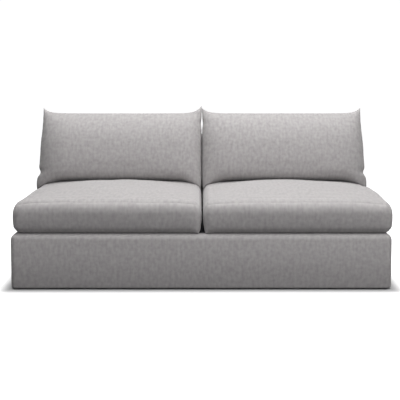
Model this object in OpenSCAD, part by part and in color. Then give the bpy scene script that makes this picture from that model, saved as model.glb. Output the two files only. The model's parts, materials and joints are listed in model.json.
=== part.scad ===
// Two-seat armless sofa with loose seat and back cushions.
// Millimetres. X runs across the sofa, the front faces -Y, Z is up.
// The origin is on the floor, under the middle of the sofa.

/* [Overall] */
// Width across the base
sofa_w = 1900; // [1700:10:2100]
// Depth from the front of the base to the rear of the back
sofa_d = 1000; // [990:5:1060]
// Height of the seat deck above the floor
base_h = 278; // [250:5:310]
// Height of the upholstered back above the floor
back_h = 707; // [667:5:747]
// Thickness of the back at the seat deck
back_foot_t = 200; // [190:5:206]
// Thickness of the back at its top
back_top_t = 140; // [130:5:155]

/* [Upholstery] */
// Thickness of the covers with the wadding sewn to them
cover_t = 4; // [3:0.5:5]
// Thickness of the foam on the rails
pad_t = 12; // [11:1:16]
// Radius of the upholstered edges
edge_r = 26; // [24:1:28]
// Radius of the side seam where the back meets the base
seam_r = 8; // [7:0.5:12]
// Width of the fabric lip round the seat deck
lip_w = 60; // [50:1:80]
// Width of the hem that turns in under the frame
hem_w = 26; // [22:1:34]
// Thickness of the foam on the inside of the back
back_foam_t = 30; // [24:1:32]
// Thickness of the foam over the top of the back
top_foam_t = 20; // [20:1:30]
// Thickness of the deck cloth
deck_cloth_t = 2; // [1:0.5:3]
// Thickness of the dust cover under the frame
dust_cover_t = 1.5; // [1:0.5:3]

/* [Seat cushions] */
// Gap between the two seat cushions
seat_gap = 8; // [6:1:20]
// Depth of one seat cushion, without the bulge of its front
seat_d = 780; // [740:5:784]
// Height of the cushion's edge
seat_h = 157; // [145:1:175]
// Rise of the crown above the edge
seat_crown = 38; // [20:1:42]
// Radius of the front top edge
seat_front_r = 62; // [50:1:70]
// Radius of the rear and side top edges
seat_top_r = 50; // [36:1:56]
// Radius of the bottom edges
seat_bottom_r = 34; // [24:1:36]
// Radius of the upright corners
seat_corner_r = 42; // [34:1:56]
// Bulge of the front and side faces
seat_bulge = 7; // [3:0.5:8]
// How far the sides draw in between the corners
seat_draw = 4; // [0:0.5:6]

/* [Back cushions] */
// Gap between the two back cushions
pillow_gap = 10; // [8:1:24]
// Height of the top seam above the seat's crown
pillow_h = 369; // [330:1:400]
// Half thickness in front of the seam
pillow_front_t = 112; // [95:1:120]
// Half thickness behind the seam
pillow_rear_t = 106; // [96:1:114]
// How far the top seam lies behind the bottom one
pillow_lean = 110; // [100:1:120]
// Rise of the top corners above the seam between them
pillow_ear = 29; // [15:1:36]
// Droop of the bottom corners over the seat
pillow_droop = 30; // [10:1:36]
// How far the sides draw in between the corners
pillow_draw = 6; // [0:1:10]
// Depth of the fold above each lower corner
pillow_fold = 12; // [0:1:16]

/* [Frame] */
// Thickness of the rails
rail_t = 22; // [18:1:24]
// Thickness of the posts and of the centre rail
post_t = 45; // [42:1:52]
// Height of the rails that the webbing is fixed to
web_rail_h = 64; // [50:1:80]
// Side of the corner blocks
block_w = 70; // [62:1:90]
// Height of the corner blocks
block_h = 60; // [50:1:80]
// Thickness of the board on the outside of the back
panel_t = 4; // [3:0.5:5]

/* [Springs] */
// Springs under each seat
spring_count = 4; // [3:1:5]
// Runs of wire in each spring
spring_runs = 15; // [13:2:17]
// Diameter of the spring wire
spring_wire = 4; // [3:0.5:4.5]
// Width of a spring
spring_w = 84; // [76:1:100]
// Rise of a spring's middle above its ends
spring_arch = 26; // [15:1:32]
// Diameter of the wires that tie the springs together
tie_wire = 2.5; // [2:0.5:3]
// Height of the battens that hold the clips
batten_h = 34; // [28:1:45]
// Depth of the battens
batten_d = 40; // [32:1:50]

/* [Webbing] */
// Upright straps across the back
strap_count = 9; // [7:1:10]
// Level straps across the back
level_strap_count = 2; // [2:1:3]
// Width of a strap
strap_w = 60; // [45:1:70]
// Thickness of a strap
strap_t = 2; // [1.5:0.5:2.5]

/* [Feet] */
// Height of each foot
foot_h = 16; // [14:1:30]
// Diameter of each foot
foot_d = 46; // [40:1:54]
// Chamfer round a foot
foot_chamfer = 3; // [2:0.5:4]

/* [Zips] */
// Length of the slot that a zip closes
zip_l = 520; // [400:10:540]
// Width of that slot
slot_w = 9; // [8:0.5:10]
// Width of the zip's tape
tape_w = 18; // [16:1:22]
// Width of the zip's chain
chain_w = 5; // [4:0.5:5]
// Length of a zip's slider
slider_l = 12; // [10:1:16]

/* [Hidden] */
$fn = 32;

// Gaps and overruns
fit_gap = 0.3;          // between soft pieces that touch
rest_gap = 0.5;         // between a cushion and the flat face behind it
crown_gap = 1.6;        // between the back cushions and the crowned seats
fill_gap = 2.5;         // between a cushion's cover and its filling
seat_rear_gap = 8;      // between the seat cushions and the back
bore_gap = 0.1;         // round a screw in its hole
cut_over = 10;          // how far a cutting shape passes its work
slice = 0.5;            // thickness of the slices that hulls are drawn from

// Colours
fabric_colour = [0.61, 0.60, 0.59];
foam_colour = [0.93, 0.90, 0.78];
fibre_colour = [0.94, 0.94, 0.93];
wood_colour = [0.78, 0.62, 0.42];
board_colour = [0.55, 0.42, 0.29];
steel_colour = [0.62, 0.63, 0.65];
black_colour = [0.10, 0.10, 0.11];
webbing_colour = [0.52, 0.46, 0.36];
zip_colour = [0.45, 0.45, 0.45];

// Planes of the base, the back and the frame
front_y = -sofa_d / 2;
rear_y = sofa_d / 2;
half_w = sofa_w / 2;
deck_rear_y = rear_y - back_foot_t;
cover_inset = cover_t + fit_gap;
frame_inset = cover_t + pad_t;
frame_x = half_w - frame_inset;
frame_front_y = front_y + frame_inset;
frame_bottom_z = foot_h;
frame_top_z = base_h - frame_inset;
cover_bottom_z = foot_h - cover_t;
rail_h = frame_top_z - frame_bottom_z;
side_rail_x = frame_x - rail_t;
side_rail_y = frame_front_y + rail_t;
rear_rail_y = deck_rear_y - rail_t;
post_x = frame_x - post_t;
post_rear_y = rear_y - cover_t - panel_t;
post_top_z = back_h - cover_t - top_foam_t;

// The back's inside face slopes, and its layers are measured square to it
back_slope = atan((back_foot_t - back_top_t) / (back_h - base_h));
web_layer = cover_t + back_foam_t + fit_gap;
upright_layer = web_layer + strap_t + fit_gap;
rail_layer = upright_layer + strap_t;
post_layer = rail_layer + rail_t;
function back_face_y(z, layer = 0) =
    deck_rear_y + (z - base_h) * tan(back_slope) + layer / cos(back_slope);

// Screws and bolts
screw_d = 6;
screw_l = 80;
screw_head_d = 11;
screw_head_h = 4;
screw_edge = 45;        // from a rail's edge to its first screw
bolt_d = 8;
bolt_l = 80;
bolt_head_d = 16;
bolt_head_h = 6;
bolt_room = 2;          // from a bolt's head to the side rail
foot_screw_l = 45;
foot_recess_h = 7;      // depth of the recess for a foot screw's head

// Springs and their clips
clip_t = 1.5;
clip_w = 16;
clip_plate_l = 24;
spring_end_z = frame_top_z - fit_gap - spring_wire / 2 - spring_arch;
clip_bore_r = spring_wire / 2 + fit_gap;
batten_top_z = spring_end_z - clip_bore_r - clip_t;
batten_bottom_z = batten_top_z - batten_h;
spring_front_y = side_rail_y + batten_d / 2;
spring_rear_y = rear_rail_y - batten_d / 2;
spring_pitch = (spring_rear_y - spring_front_y) / (spring_runs - 1);
spring_bend_r = spring_pitch / 2;
wire_sides = 4;
bend_angles = [-90, -30, 30, 90];
tie_shares = [1 / 3, 2 / 3];    // places of the tie wires along a spring

// Seat cushions
cushion_x = half_w / 2;
seat_w = half_w - seat_gap;
seat_z = base_h + fit_gap;
seat_rear_y = deck_rear_y - seat_rear_gap;
seat_front_y = seat_rear_y - seat_d;
seat_mid_y = (seat_rear_y + seat_front_y) / 2;
seat_half_x = seat_w / 2 - seat_bulge;
seat_top_z = seat_z + seat_h;
seat_zip_z = seat_z + seat_bottom_r + (seat_h - seat_top_r - seat_bottom_r) / 2;
corner_r_least = 5;
crown_power = 3;        // how far the crown carries towards front and rear
side_shares = [-0.6, -0.2, 0.2, 0.6];       // points along a cushion's side
zip_shares = [-1, -0.5, 0, 0.5, 1];         // points along a zip
crown_shares = [0.8, 0.56, 0.3];            // rings on a seat's crown

// Back cushions
pillow_half_x = (half_w - pillow_gap) / 2;
pillow_foot_y = deck_rear_y - pillow_lean;
pillow_foot_z = seat_surface_z(0, pillow_foot_y) + crown_gap;
pillow_rise = seat_top_z + seat_crown + pillow_h - pillow_foot_z;
pillow_tilt = atan(pillow_lean / pillow_rise);
pillow_half_h = pillow_rise / cos(pillow_tilt) / 2;
ear_reach = 32;         // how fast an ear falls away from its corner
ear_places = [24, 75];  // points beside a corner
fold_place = 50;        // height of the fold above the lower corner
fold_reach = 15;
ear_fade = 8;           // how fast ears and folds fade inside the seam
round_power = 0.6;      // how fast the rings round off inside the seam
edge_room = 30;         // width along the seat's edge that the cushion bridges
plateau_share = 0.62;   // middle share of the width with an even section
low_power = 4;          // fullness of the lower half
high_power = 2.3;       // fullness of the upper half
swell_power = 0.5;
zip_share = 0.8;        // the zip's place between the middle and the bottom seam
front_shares = [0.94, 0.82, 0.64, 0.42, 0.2];
rear_far_share = 0.94;
rear_near_shares = [0.58, 0.3];
tape_room = 2;          // flat cloth beyond the zip's tape

// Zips
tape_t = 0.8;
tape_over = 10;         // how far the tape passes the slot's ends
chain_h = 2.4;
chain_end = 8;          // from the slot's end to the chain
stop_l = 3;
slider_wall = 1.2;
slider_top_h = 1.2;
slider_gap = 0.3;

function mix(a, b, t) = a + (b - a) * t;
function unit(v) = v / norm(v);
function clamp(v, low, high) = min(high, max(low, v));

// Closed skins: rings of points stacked from one pole to the other

function skin_points(first, rings, last) =
    concat([first], [for (ring = rings) for (p = ring) p], [last]);

// Faces of a skin of m rings of n points, whose first pole has the index base.
// The quads that a slot leaves open lie over slot[0], from slot[1] up to slot[2].
function skin_faces(m, n, base = 0, slot = [-1, 0, 0]) =
    let (at = function (i, j) base + 1 + i * n + j % n)
    concat(
        [for (j = [0 : n - 1]) [base, at(0, j), at(0, j + 1)]],
        [for (i = [0 : m - 2]) for (j = [0 : n - 1])
            if (i != slot[0] || j < slot[1] || j >= slot[2])
                for (t = [
                    [at(i, j), at(i + 1, j), at(i + 1, j + 1)],
                    [at(i, j), at(i + 1, j + 1), at(i, j + 1)]
                ]) t],
        [for (j = [0 : n - 1]) [base + 1 + m * n, at(m - 1, j + 1), at(m - 1, j)]]
    );

// Walls of the slot, between an outer skin and an inner one of the same rings
function slot_faces(m, n, slot) =
    let (at = function (i, j) 1 + i * n + j % n,
         inner = m * n + 2,
         low = slot[0],
         high = slot[0] + 1,
         edge = concat(
             [for (j = [slot[2] : -1 : slot[1]]) at(low, j)],
             [for (j = [slot[1] : slot[2]]) at(high, j)]))
    [for (k = [0 : len(edge) - 1])
        let (a = edge[k], b = edge[(k + 1) % len(edge)])
        for (t = [[a, b, b + inner], [a, b + inner, a + inner]]) t];

// The same rings, set in by t along the skin's own normals
function inset_rings(first, rings, last, t) =
    let (m = len(rings), n = len(rings[0]))
    [for (i = [0 : m - 1])
        [for (j = [0 : n - 1])
            let (below = i == 0 ? first : rings[i - 1][j],
                 above = i == m - 1 ? last : rings[i + 1][j],
                 along = rings[i][(j + 1) % n] - rings[i][(j + n - 1) % n])
            rings[i][j] - t * unit(cross(along, above - below))]];

module skin(first, rings, last) {
    polyhedron(skin_points(first, rings, last), skin_faces(len(rings), len(rings[0])));
}

// A hollow cover t thick, with a slot in it
module slotted_cover(first, rings, last, t, slot) {
    m = len(rings);
    n = len(rings[0]);
    inner = inset_rings(first, rings, last, t);
    toward_first = unit(last - first);
    polyhedron(
        concat(
            skin_points(first, rings, last),
            skin_points(first + t * toward_first, inner, last - t * toward_first)),
        concat(
            skin_faces(m, n, 0, slot),
            [for (f = skin_faces(m, n, m * n + 2, slot)) [f[2], f[1], f[0]]],
            slot_faces(m, n, slot)));
}

// A round wire of flat faces along a path
module wire(path, r, sides) {
    last = len(path) - 1;
    rings = [for (k = [0 : last])
        let (t = unit(path[min(k + 1, last)] - path[max(k - 1, 0)]),
             across = unit(cross([0, 0, 1], t)),
             up = cross(t, across))
        [for (s = [0 : sides - 1])
            path[k] + r * (cos(360 * s / sides) * across + sin(360 * s / sides) * up)]];
    skin(path[0], rings, path[last]);
}

// Seat cushions

// Rise of a rounded edge of radius r at a distance d from it
function edge_rise(d, r) = d <= 0 ? -r : d >= r ? 0 : sqrt(r * r - pow(r - d, 2)) - r;

// Height of a seat cushion's top, x from its own middle
function seat_surface_z(x, y) =
    let (from_side = seat_half_x - abs(x),
         from_front = y - seat_front_y,
         from_rear = seat_rear_y - y,
         u = clamp(abs(x) / (seat_half_x - seat_top_r), 0, 1),
         v = clamp(abs(y - seat_mid_y) / (seat_d / 2 - seat_top_r), 0, 1))
    seat_top_z + seat_crown * (1 - u * u) * (1 - pow(v, crown_power))
        + min(edge_rise(from_side, seat_top_r),
              edge_rise(from_front, seat_front_r),
              edge_rise(from_rear, seat_top_r));

// Quarter of a rounded corner, as points and outward directions
function corner_arc(x, y, r, from) =
    [for (a = [from : 30 : from + 90]) [x + r * cos(a), y + r * sin(a), a]];

// Plan outline of a seat cushion, set in by these amounts, with outward directions
function seat_outline(side_in, front_in, rear_in) =
    let (w = seat_half_x - side_in,
         f = seat_front_y + front_in,
         r = seat_rear_y - rear_in,
         c = max(corner_r_least, seat_corner_r - min(side_in, front_in)),
         mid = (f + r) / 2,
         half = (r - f) / 2 - c)
    concat(
        corner_arc(w - c, r - c, c, 0),
        [for (s = zip_shares) [-s * zip_l / 2, r, 90]],
        corner_arc(c - w, r - c, c, 90),
        [for (s = side_shares) [-w + seat_draw * (1 - s * s), mid - s * half, 180]],
        corner_arc(c - w, f + c, c, 180),
        [for (s = zip_shares) [s * zip_l / 2, f + seat_draw * (1 - s * s) / 2, 270]],
        corner_arc(w - c, f + c, c, 270),
        [for (s = side_shares) [w - seat_draw * (1 - s * s), mid + s * half, 0]]);

// Radius of the top edge in an outward direction
function seat_edge_r(angle) = mix(seat_top_r, seat_front_r, max(0, -sin(angle)));

// Ring on the boxing, v from 0 at the bottom edge to 1 at the top edge
function seat_wall_ring(v) =
    let (bulge = seat_bulge * sin(180 * v))
    [for (p = seat_outline(-bulge, -bulge, 0))
        let (wall_h = seat_h - seat_edge_r(p[2]) - seat_bottom_r)
        [p[0], p[1], seat_z + seat_bottom_r + v * wall_h]];

// Ring on the rounded top edge, turned up by an angle
function seat_edge_ring(turn) =
    let (share = 1 - cos(turn))
    [for (p = seat_outline(share * seat_top_r, share * seat_front_r, share * seat_top_r))
        [p[0], p[1], seat_top_z - seat_edge_r(p[2]) * (1 - sin(turn))]];

function seat_bottom_ring(turn) =
    let (inset = seat_bottom_r * (1 - sin(turn)))
    [for (p = seat_outline(inset, inset, inset))
        [p[0], p[1], seat_z + seat_bottom_r * (1 - cos(turn))]];

function seat_crown_ring(share) =
    [for (p = seat_edge_ring(90))
        let (x = share * p[0], y = mix(seat_mid_y, p[1], share))
        [x, y, seat_surface_z(x, y)]];

seat_bottom = [0, seat_mid_y, seat_z];
seat_peak = [0, seat_mid_y, seat_top_z + seat_crown];
slot_turn = slot_w / 2 / (seat_h - seat_top_r - seat_bottom_r);
seat_base_rings = [for (turn = [0, 45, 90]) seat_bottom_ring(turn)];
seat_slot_rings = [for (v = [0.5 - slot_turn, 0.5 + slot_turn]) seat_wall_ring(v)];
seat_upper_rings = concat(
    [for (turn = [0, 35, 65, 90]) seat_edge_ring(turn)],
    [for (share = crown_shares) seat_crown_ring(share)]);
seat_rings = concat(seat_base_rings, seat_slot_rings, seat_upper_rings);
seat_core_rings = concat(seat_base_rings, [seat_wall_ring(0.5)], seat_upper_rings);
seat_slot = [len(seat_base_rings), 4, 4 + len(zip_shares) - 1];

module seat_cover() {
    color(fabric_colour)
        slotted_cover(seat_bottom, seat_rings, seat_peak, cover_t, seat_slot);
}

// The core lies on the bottom of its cover
module seat_core() {
    inset = cover_t + fill_gap;
    up = [0, 0, inset];
    color(foam_colour)
        translate([0, 0, fit_gap - fill_gap])
            skin(
                seat_bottom + up,
                inset_rings(seat_bottom, seat_core_rings, seat_peak, inset),
                seat_peak - up);
}

// Back cushions

function ear(d) = exp(-d / ear_reach);

pillow_side_places = concat(
    [for (d = ear_places) pillow_half_h - d],
    [0.3 * pillow_half_h, -0.25 * pillow_half_h],
    [for (d = [fold_place + fold_reach * 1.6, fold_place, fold_place - fold_reach * 1.6])
        d - pillow_half_h]);
pillow_row_places = concat(
    [for (d = ear_places) pillow_half_x - d],
    [for (s = zip_shares) -s * zip_l / 2 / zip_share],
    [for (d = [ear_places[1], ear_places[0]]) d - pillow_half_x]);

// Outline of a back cushion in its own sloping plane. Its ears and folds are
// scaled by fade, which is 1 at the seam
function pillow_side(b, fade) =
    let (v = b / pillow_half_h,
         from_fold = b + pillow_half_h - fold_place)
    pillow_half_x - pillow_draw * (1 - v * v)
        - fade * pillow_fold * exp(-pow(from_fold / fold_reach, 2));
function top_edge(a, fade) =
    pillow_half_h + fade * pillow_ear * ear(pillow_half_x - abs(a));
function bottom_edge(a, fade) =
    -pillow_half_h - fade * pillow_droop * ear(pillow_half_x - abs(a));
function pillow_outline(fade) = concat(
    [[pillow_half_x, top_edge(pillow_half_x, fade)]],
    [for (a = pillow_row_places) [a, top_edge(a, fade)]],
    [[-pillow_half_x, top_edge(pillow_half_x, fade)]],
    [for (b = pillow_side_places) [-pillow_side(b, fade), b]],
    [[-pillow_half_x, bottom_edge(pillow_half_x, fade)]],
    [for (k = [len(pillow_row_places) - 1 : -1 : 0])
        [pillow_row_places[k], bottom_edge(pillow_row_places[k], fade)]],
    [[pillow_half_x, bottom_edge(pillow_half_x, fade)]],
    [for (k = [len(pillow_side_places) - 1 : -1 : 0])
        [pillow_side(pillow_side_places[k], fade), pillow_side_places[k]]]);

// Draws a point of the outline in toward an ellipse
function rounded(p, share) =
    let (t = pow(1 - share, round_power),
         u = min(1, abs(p[0]) / pillow_half_x),
         v = min(1, abs(p[1]) / pillow_half_h))
    [p[0] * mix(1, sqrt(1 - v * v / 2), t), p[1] * mix(1, sqrt(1 - u * u / 2), t)];

// Share of the full thickness at a place on the cushion's plane, in the ring of a given share
function pillow_swell(a, b, share) =
    let (u = min(share, abs(a) / pillow_half_x),
         e = max(0, u - plateau_share) / (1 - plateau_share),
         v = clamp(b / pillow_half_h, -share, share),
         height = 1 - (v < 0 ? pow(-v, low_power) : pow(v, high_power)))
    pow(max(0, (1 - e * e) * height), swell_power);

// The rear is flat for the width of the zip's tape
function rear_section(share) = pillow_rear_t * pillow_swell(0, -share * pillow_half_h, share);
section_step = 0.01;
zip_fall = (rear_section(zip_share + section_step) - rear_section(zip_share - section_step))
    / (2 * section_step);
share_per_mm = 1 / norm([zip_fall, pillow_half_h]);
slot_half_share = slot_w / 2 * share_per_mm;
flat_half_share = (tape_w / 2 + tape_room) * share_per_mm;
function zip_flatness(share) =
    abs(share - zip_share) > flat_half_share * 1.01 ? 1
    : (rear_section(zip_share) + zip_fall * (share - zip_share)) / rear_section(share);

// A point at a, b on the sloping plane and t in front of it, kept off the seat and the back
function pillow_point(a, b, t, room = 0) =
    let (up = b + pillow_half_h,
         y = pillow_foot_y + up * sin(pillow_tilt) - t * cos(pillow_tilt),
         z = pillow_foot_z + up * cos(pillow_tilt) + t * sin(pillow_tilt),
         clear_z = max(z, seat_surface_z(max(0, abs(a) - room), y) + crown_gap))
    [a, min(y, back_face_y(clear_z) - rest_gap), clear_z];

function pillow_ring(share, thickness, outline, room = 0) =
    [for (p = outline)
        pillow_point(share * p[0], share * p[1],
            thickness * pillow_swell(share * p[0], share * p[1], share), room)];
function rear_ring(share) =
    pillow_ring(share, -pillow_rear_t * zip_flatness(share),
        pillow_outline(pow(share, ear_fade)), edge_room);
function front_ring(share) =
    pillow_ring(share, pillow_front_t,
        [for (p = pillow_outline(pow(share, ear_fade))) rounded(p, share)], edge_room);

pillow_rear = pillow_point(0, 0, -pillow_rear_t);
pillow_front = pillow_point(0, 0, pillow_front_t);
pillow_front_rings = [for (share = front_shares) front_ring(share)];
pillow_seam_ring = pillow_ring(1, 0, pillow_outline(1));
pillow_near_rings = [for (k = [len(rear_near_shares) - 1 : -1 : 0]) rear_ring(rear_near_shares[k])];
zip_row_shares = [
    zip_share - flat_half_share, zip_share - slot_half_share,
    zip_share + slot_half_share, zip_share + flat_half_share
];
pillow_zip_rings = [for (share = zip_row_shares) rear_ring(share)];
pillow_rings = concat(
    pillow_near_rings, pillow_zip_rings,
    [rear_ring(rear_far_share), pillow_seam_ring], pillow_front_rings);
pillow_fill_rings = concat(
    pillow_near_rings, [rear_ring(zip_share), rear_ring(rear_far_share)], pillow_front_rings);
zip_first_point = 4 + len(pillow_row_places) + len(pillow_side_places)
    - len(ear_places) + len(ear_places) * 2 - 2;
pillow_slot = [len(pillow_near_rings) + 1, zip_first_point, zip_first_point + len(zip_shares) - 1];

module back_cushion_cover() {
    color(fabric_colour)
        slotted_cover(pillow_rear, pillow_rings, pillow_front, cover_t, pillow_slot);
}

module back_cushion_fill() {
    inset = cover_t + fill_gap;
    along = inset * unit(pillow_front - pillow_rear);
    level_z = function (p) seat_surface_z(0, p[1]) + crown_gap + inset;
    rings = inset_rings(pillow_rear, pillow_fill_rings, pillow_front, inset);
    color(fibre_colour)
        skin(
            pillow_rear + along,
            [for (ring = rings) [for (p = ring) [p[0], p[1], max(p[2], level_z(p))]]],
            pillow_front - along);
}

// The two sides mirror each other
module on_left() translate([-cushion_x, 0, 0]) children();
module on_right() mirror([1, 0, 0]) on_left() children();

// Zips, drawn along X with the cover's outer face at zero

chain_top = -cover_inset + chain_h;
module zip() {
    tape_l = zip_l + 2 * tape_over;
    chain_l = zip_l - 2 * chain_end;
    color(zip_colour) {
        translate([-tape_l / 2, -tape_w / 2, -cover_inset - tape_t])
            cube([tape_l, tape_w, tape_t]);
        translate([-chain_l / 2, -chain_w / 2, -cover_inset - tape_t])
            cube([chain_l, chain_w, chain_h + tape_t]);
        for (side = [-1, 1])
            translate([side * (chain_l - stop_l) / 2 - stop_l / 2, -chain_w / 2, -cover_inset])
                cube([stop_l, chain_w, chain_h + slider_gap + slider_top_h]);
    }
}

// The slider straddles the chain, with a nose that is narrower than its tail
module zip_slider() {
    w = chain_w + 2 * (slider_gap + slider_wall);
    top = chain_top + slider_gap;
    start = -zip_l / 2 + chain_end + stop_l + slider_gap;
    bottom = -cover_inset + slider_gap;
    color(steel_colour)
        translate([start, 0, 0])
            difference() {
                translate([0, 0, bottom])
                    linear_extrude(top + slider_top_h - bottom)
                        polygon([
                            [0, -w / 2], [slider_l, -w / 2 + slider_wall / 2],
                            [slider_l, w / 2 - slider_wall / 2], [0, w / 2]
                        ]);
                translate([-cut_over, -chain_w / 2 - slider_gap, bottom - cut_over])
                    cube([slider_l + 2 * cut_over, chain_w + 2 * slider_gap,
                        top - bottom + cut_over]);
            }
}

module on_seat_rear() {
    translate([0, seat_rear_y, seat_zip_z]) rotate([-90, 0, 0]) children();
}

zip_near = pillow_point(0, -zip_row_shares[1] * pillow_half_h,
    -rear_section(zip_row_shares[1]) * zip_flatness(zip_row_shares[1]));
zip_far = pillow_point(0, -zip_row_shares[2] * pillow_half_h,
    -rear_section(zip_row_shares[2]) * zip_flatness(zip_row_shares[2]));
zip_middle = (zip_near + zip_far) / 2;
zip_across = unit(zip_far - zip_near);

module on_pillow_rear() {
    translate(zip_middle)
        rotate([atan2(zip_across[2], zip_across[1]) + 180, 0, 0]) children();
}

// Frame

// A bolt or screw along Z, its head's outer face at zero
module fastener(d, l, head_d, head_h) {
    translate([0, 0, -l]) cylinder(d = d, h = l);
    translate([0, 0, -head_h]) cylinder(d = head_d, h = head_h);
}

// The hole that it sits in
module fastener_hole(d, l, head_d, head_h) {
    translate([0, 0, -l - bore_gap]) cylinder(d = d + 2 * bore_gap, h = l + cut_over);
    translate([0, 0, -head_h - bore_gap]) cylinder(d = head_d + 2 * bore_gap, h = head_h + cut_over);
}

module screw() fastener(screw_d, screw_l, screw_head_d, screw_head_h);
module screw_hole() fastener_hole(screw_d, screw_l, screw_head_d, screw_head_h);
module bolt() fastener(bolt_d, bolt_l, bolt_head_d, bolt_head_h);
module bolt_hole() {
    translate([0, 0, -bolt_l - bore_gap]) cylinder(d = bolt_d + 2 * bore_gap, h = bolt_l + cut_over);
}

side_screw_x = frame_x - rail_t / 2;
side_screw_zs = [frame_bottom_z + screw_edge, frame_top_z - screw_edge];
centre_screw_zs = [frame_bottom_z + screw_edge, batten_bottom_z - screw_edge];
front_screw_places = concat(
    [for (x = [-side_screw_x, side_screw_x]) for (z = side_screw_zs) [x, z]],
    [for (z = centre_screw_zs) [0, z]]);

module at_rail_screws() {
    for (p = front_screw_places) {
        translate([p[0], frame_front_y, p[1]]) rotate([90, 0, 0]) children();
        translate([p[0], deck_rear_y, p[1]]) rotate([-90, 0, 0]) children();
    }
}

bolt_x = side_rail_x - bolt_head_d / 2 - bolt_room;
high_bolt_z = (batten_top_z + frame_top_z) / 2;
low_bolt_z = frame_bottom_z + screw_edge;
bolt_places = [
    [-bolt_x, low_bolt_z], [bolt_x, low_bolt_z],
    [-bolt_x, high_bolt_z], [0, high_bolt_z], [bolt_x, high_bolt_z]
];

module at_bolts() {
    for (p = bolt_places)
        translate([p[0], rear_rail_y - bolt_head_h, p[1]]) rotate([90, 0, 0]) children();
}

// Places on the sloping layers of the back
module on_slope(z, layer) {
    translate([0, back_face_y(z, layer), z]) rotate([-back_slope, 0, 0]) children();
}

top_rail_z = post_top_z - web_rail_h * cos(back_slope);
web_rail_z = frame_top_z + rail_t * sin(back_slope);
bottom_rail_y = post_rear_y - rail_t;
bottom_rail_h = web_rail_h;
rail_screw_shares = [1 / 4, 3 / 4];

module at_post_screws() {
    for (side = [-1, 1]) for (share = rail_screw_shares) {
        for (z = [top_rail_z, web_rail_z])
            on_slope(z, rail_layer)
                translate([side * frame_x, rail_t / 2, share * web_rail_h])
                    rotate([0, side * 90, 0]) children();
        translate([side * frame_x, bottom_rail_y + rail_t / 2, frame_bottom_z + share * bottom_rail_h])
            rotate([0, side * 90, 0]) children();
    }
}

module level_board(y, depth, x) {
    translate([-x, y, frame_bottom_z]) cube([2 * x, depth, rail_h]);
}

module front_rail() {
    color(wood_colour)
        difference() {
            level_board(frame_front_y, rail_t, frame_x);
            at_rail_screws() screw_hole();
        }
}

module rear_rail() {
    color(wood_colour)
        difference() {
            level_board(rear_rail_y, rail_t, frame_x);
            at_rail_screws() screw_hole();
            at_bolts() bolt_hole();
        }
}

module side_rail(side) {
    color(wood_colour)
        difference() {
            translate([side * side_screw_x - rail_t / 2, side_rail_y, frame_bottom_z])
                cube([rail_t, rear_rail_y - side_rail_y, rail_h]);
            at_rail_screws() screw_hole();
        }
}
module side_rail_left() side_rail(-1);
module side_rail_right() side_rail(1);

module centre_rail() {
    color(wood_colour)
        difference() {
            translate([-post_t / 2, side_rail_y, frame_bottom_z])
                cube([post_t, rear_rail_y - side_rail_y, batten_bottom_z - frame_bottom_z]);
            at_rail_screws() screw_hole();
            at_feet() foot_screw_hole();
        }
}

module spring_batten(y) {
    color(wood_colour)
        translate([-side_rail_x, y, batten_bottom_z])
            cube([2 * side_rail_x, batten_d, batten_h]);
}
module spring_batten_front() spring_batten(side_rail_y);
module spring_batten_rear() spring_batten(rear_rail_y - batten_d);

// A three-cornered block in the angle of two rails, with its own pilot hole
module corner_block(x, y, turn_y) {
    side = sign(x);
    translate([x, y, frame_bottom_z])
        linear_extrude(block_h)
            polygon([[0, 0], [-side * block_w, 0], [0, turn_y * block_w]]);
}

module corner_blocks() {
    color(wood_colour)
        difference() {
            for (side = [-1, 1]) {
                corner_block(side * side_rail_x, side_rail_y, 1);
                corner_block(side * post_x, bottom_rail_y, -1);
            }
            at_feet() foot_screw_hole();
        }
}

// Side view of a post whose front above the deck lies in the given layer
module post_shape(layer) {
    polygon([
        [deck_rear_y, frame_bottom_z],
        [deck_rear_y, frame_top_z],
        [back_face_y(frame_top_z, layer), frame_top_z],
        [back_face_y(post_top_z, layer), post_top_z],
        [post_rear_y, post_top_z],
        [post_rear_y, frame_bottom_z]
    ]);
}

module post(x, layer) {
    color(wood_colour)
        difference() {
            translate([x - post_t / 2, 0, 0])
                rotate([90, 0, 90]) linear_extrude(post_t) post_shape(layer);
            if (x == 0) translate([-post_t, bottom_rail_y, frame_bottom_z - cut_over])
                cube([2 * post_t, rail_t + cut_over, bottom_rail_h + cut_over]);
            at_bolts() bolt_hole();
            at_post_screws() screw_hole();
            at_feet() foot_screw_hole();
        }
}
module back_post_left() post(-frame_x + post_t / 2, rail_layer);
module back_post_right() post(frame_x - post_t / 2, rail_layer);
module back_post_centre() post(0, post_layer);

module web_rail(z) {
    color(wood_colour)
        difference() {
            on_slope(z, rail_layer)
                translate([-post_x, 0, 0]) cube([2 * post_x, rail_t, web_rail_h]);
            at_post_screws() screw_hole();
        }
}
module back_top_rail() web_rail(top_rail_z);
module back_web_rail() web_rail(web_rail_z);

module back_bottom_rail() {
    color(wood_colour)
        difference() {
            translate([-post_x, bottom_rail_y, frame_bottom_z])
                cube([2 * post_x, rail_t, bottom_rail_h]);
            at_post_screws() screw_hole();
        }
}

module back_panel() {
    x = half_w - edge_r;
    color(board_colour)
        translate([-x, post_rear_y, frame_bottom_z])
            cube([2 * x, panel_t - fit_gap, back_h - edge_r - frame_bottom_z]);
}

module frame_screws() {
    color(steel_colour) {
        at_rail_screws() screw();
        at_post_screws() screw();
    }
}

module back_bolts() {
    color(steel_colour) at_bolts() bolt();
}

// Springs

function spring_y(share) = mix(spring_front_y, spring_rear_y, share);
function spring_z(y) =
    spring_end_z + spring_arch * sin(180 * (y - spring_front_y) / (spring_rear_y - spring_front_y));
spring_straight = spring_w / 2 - spring_bend_r;

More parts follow.
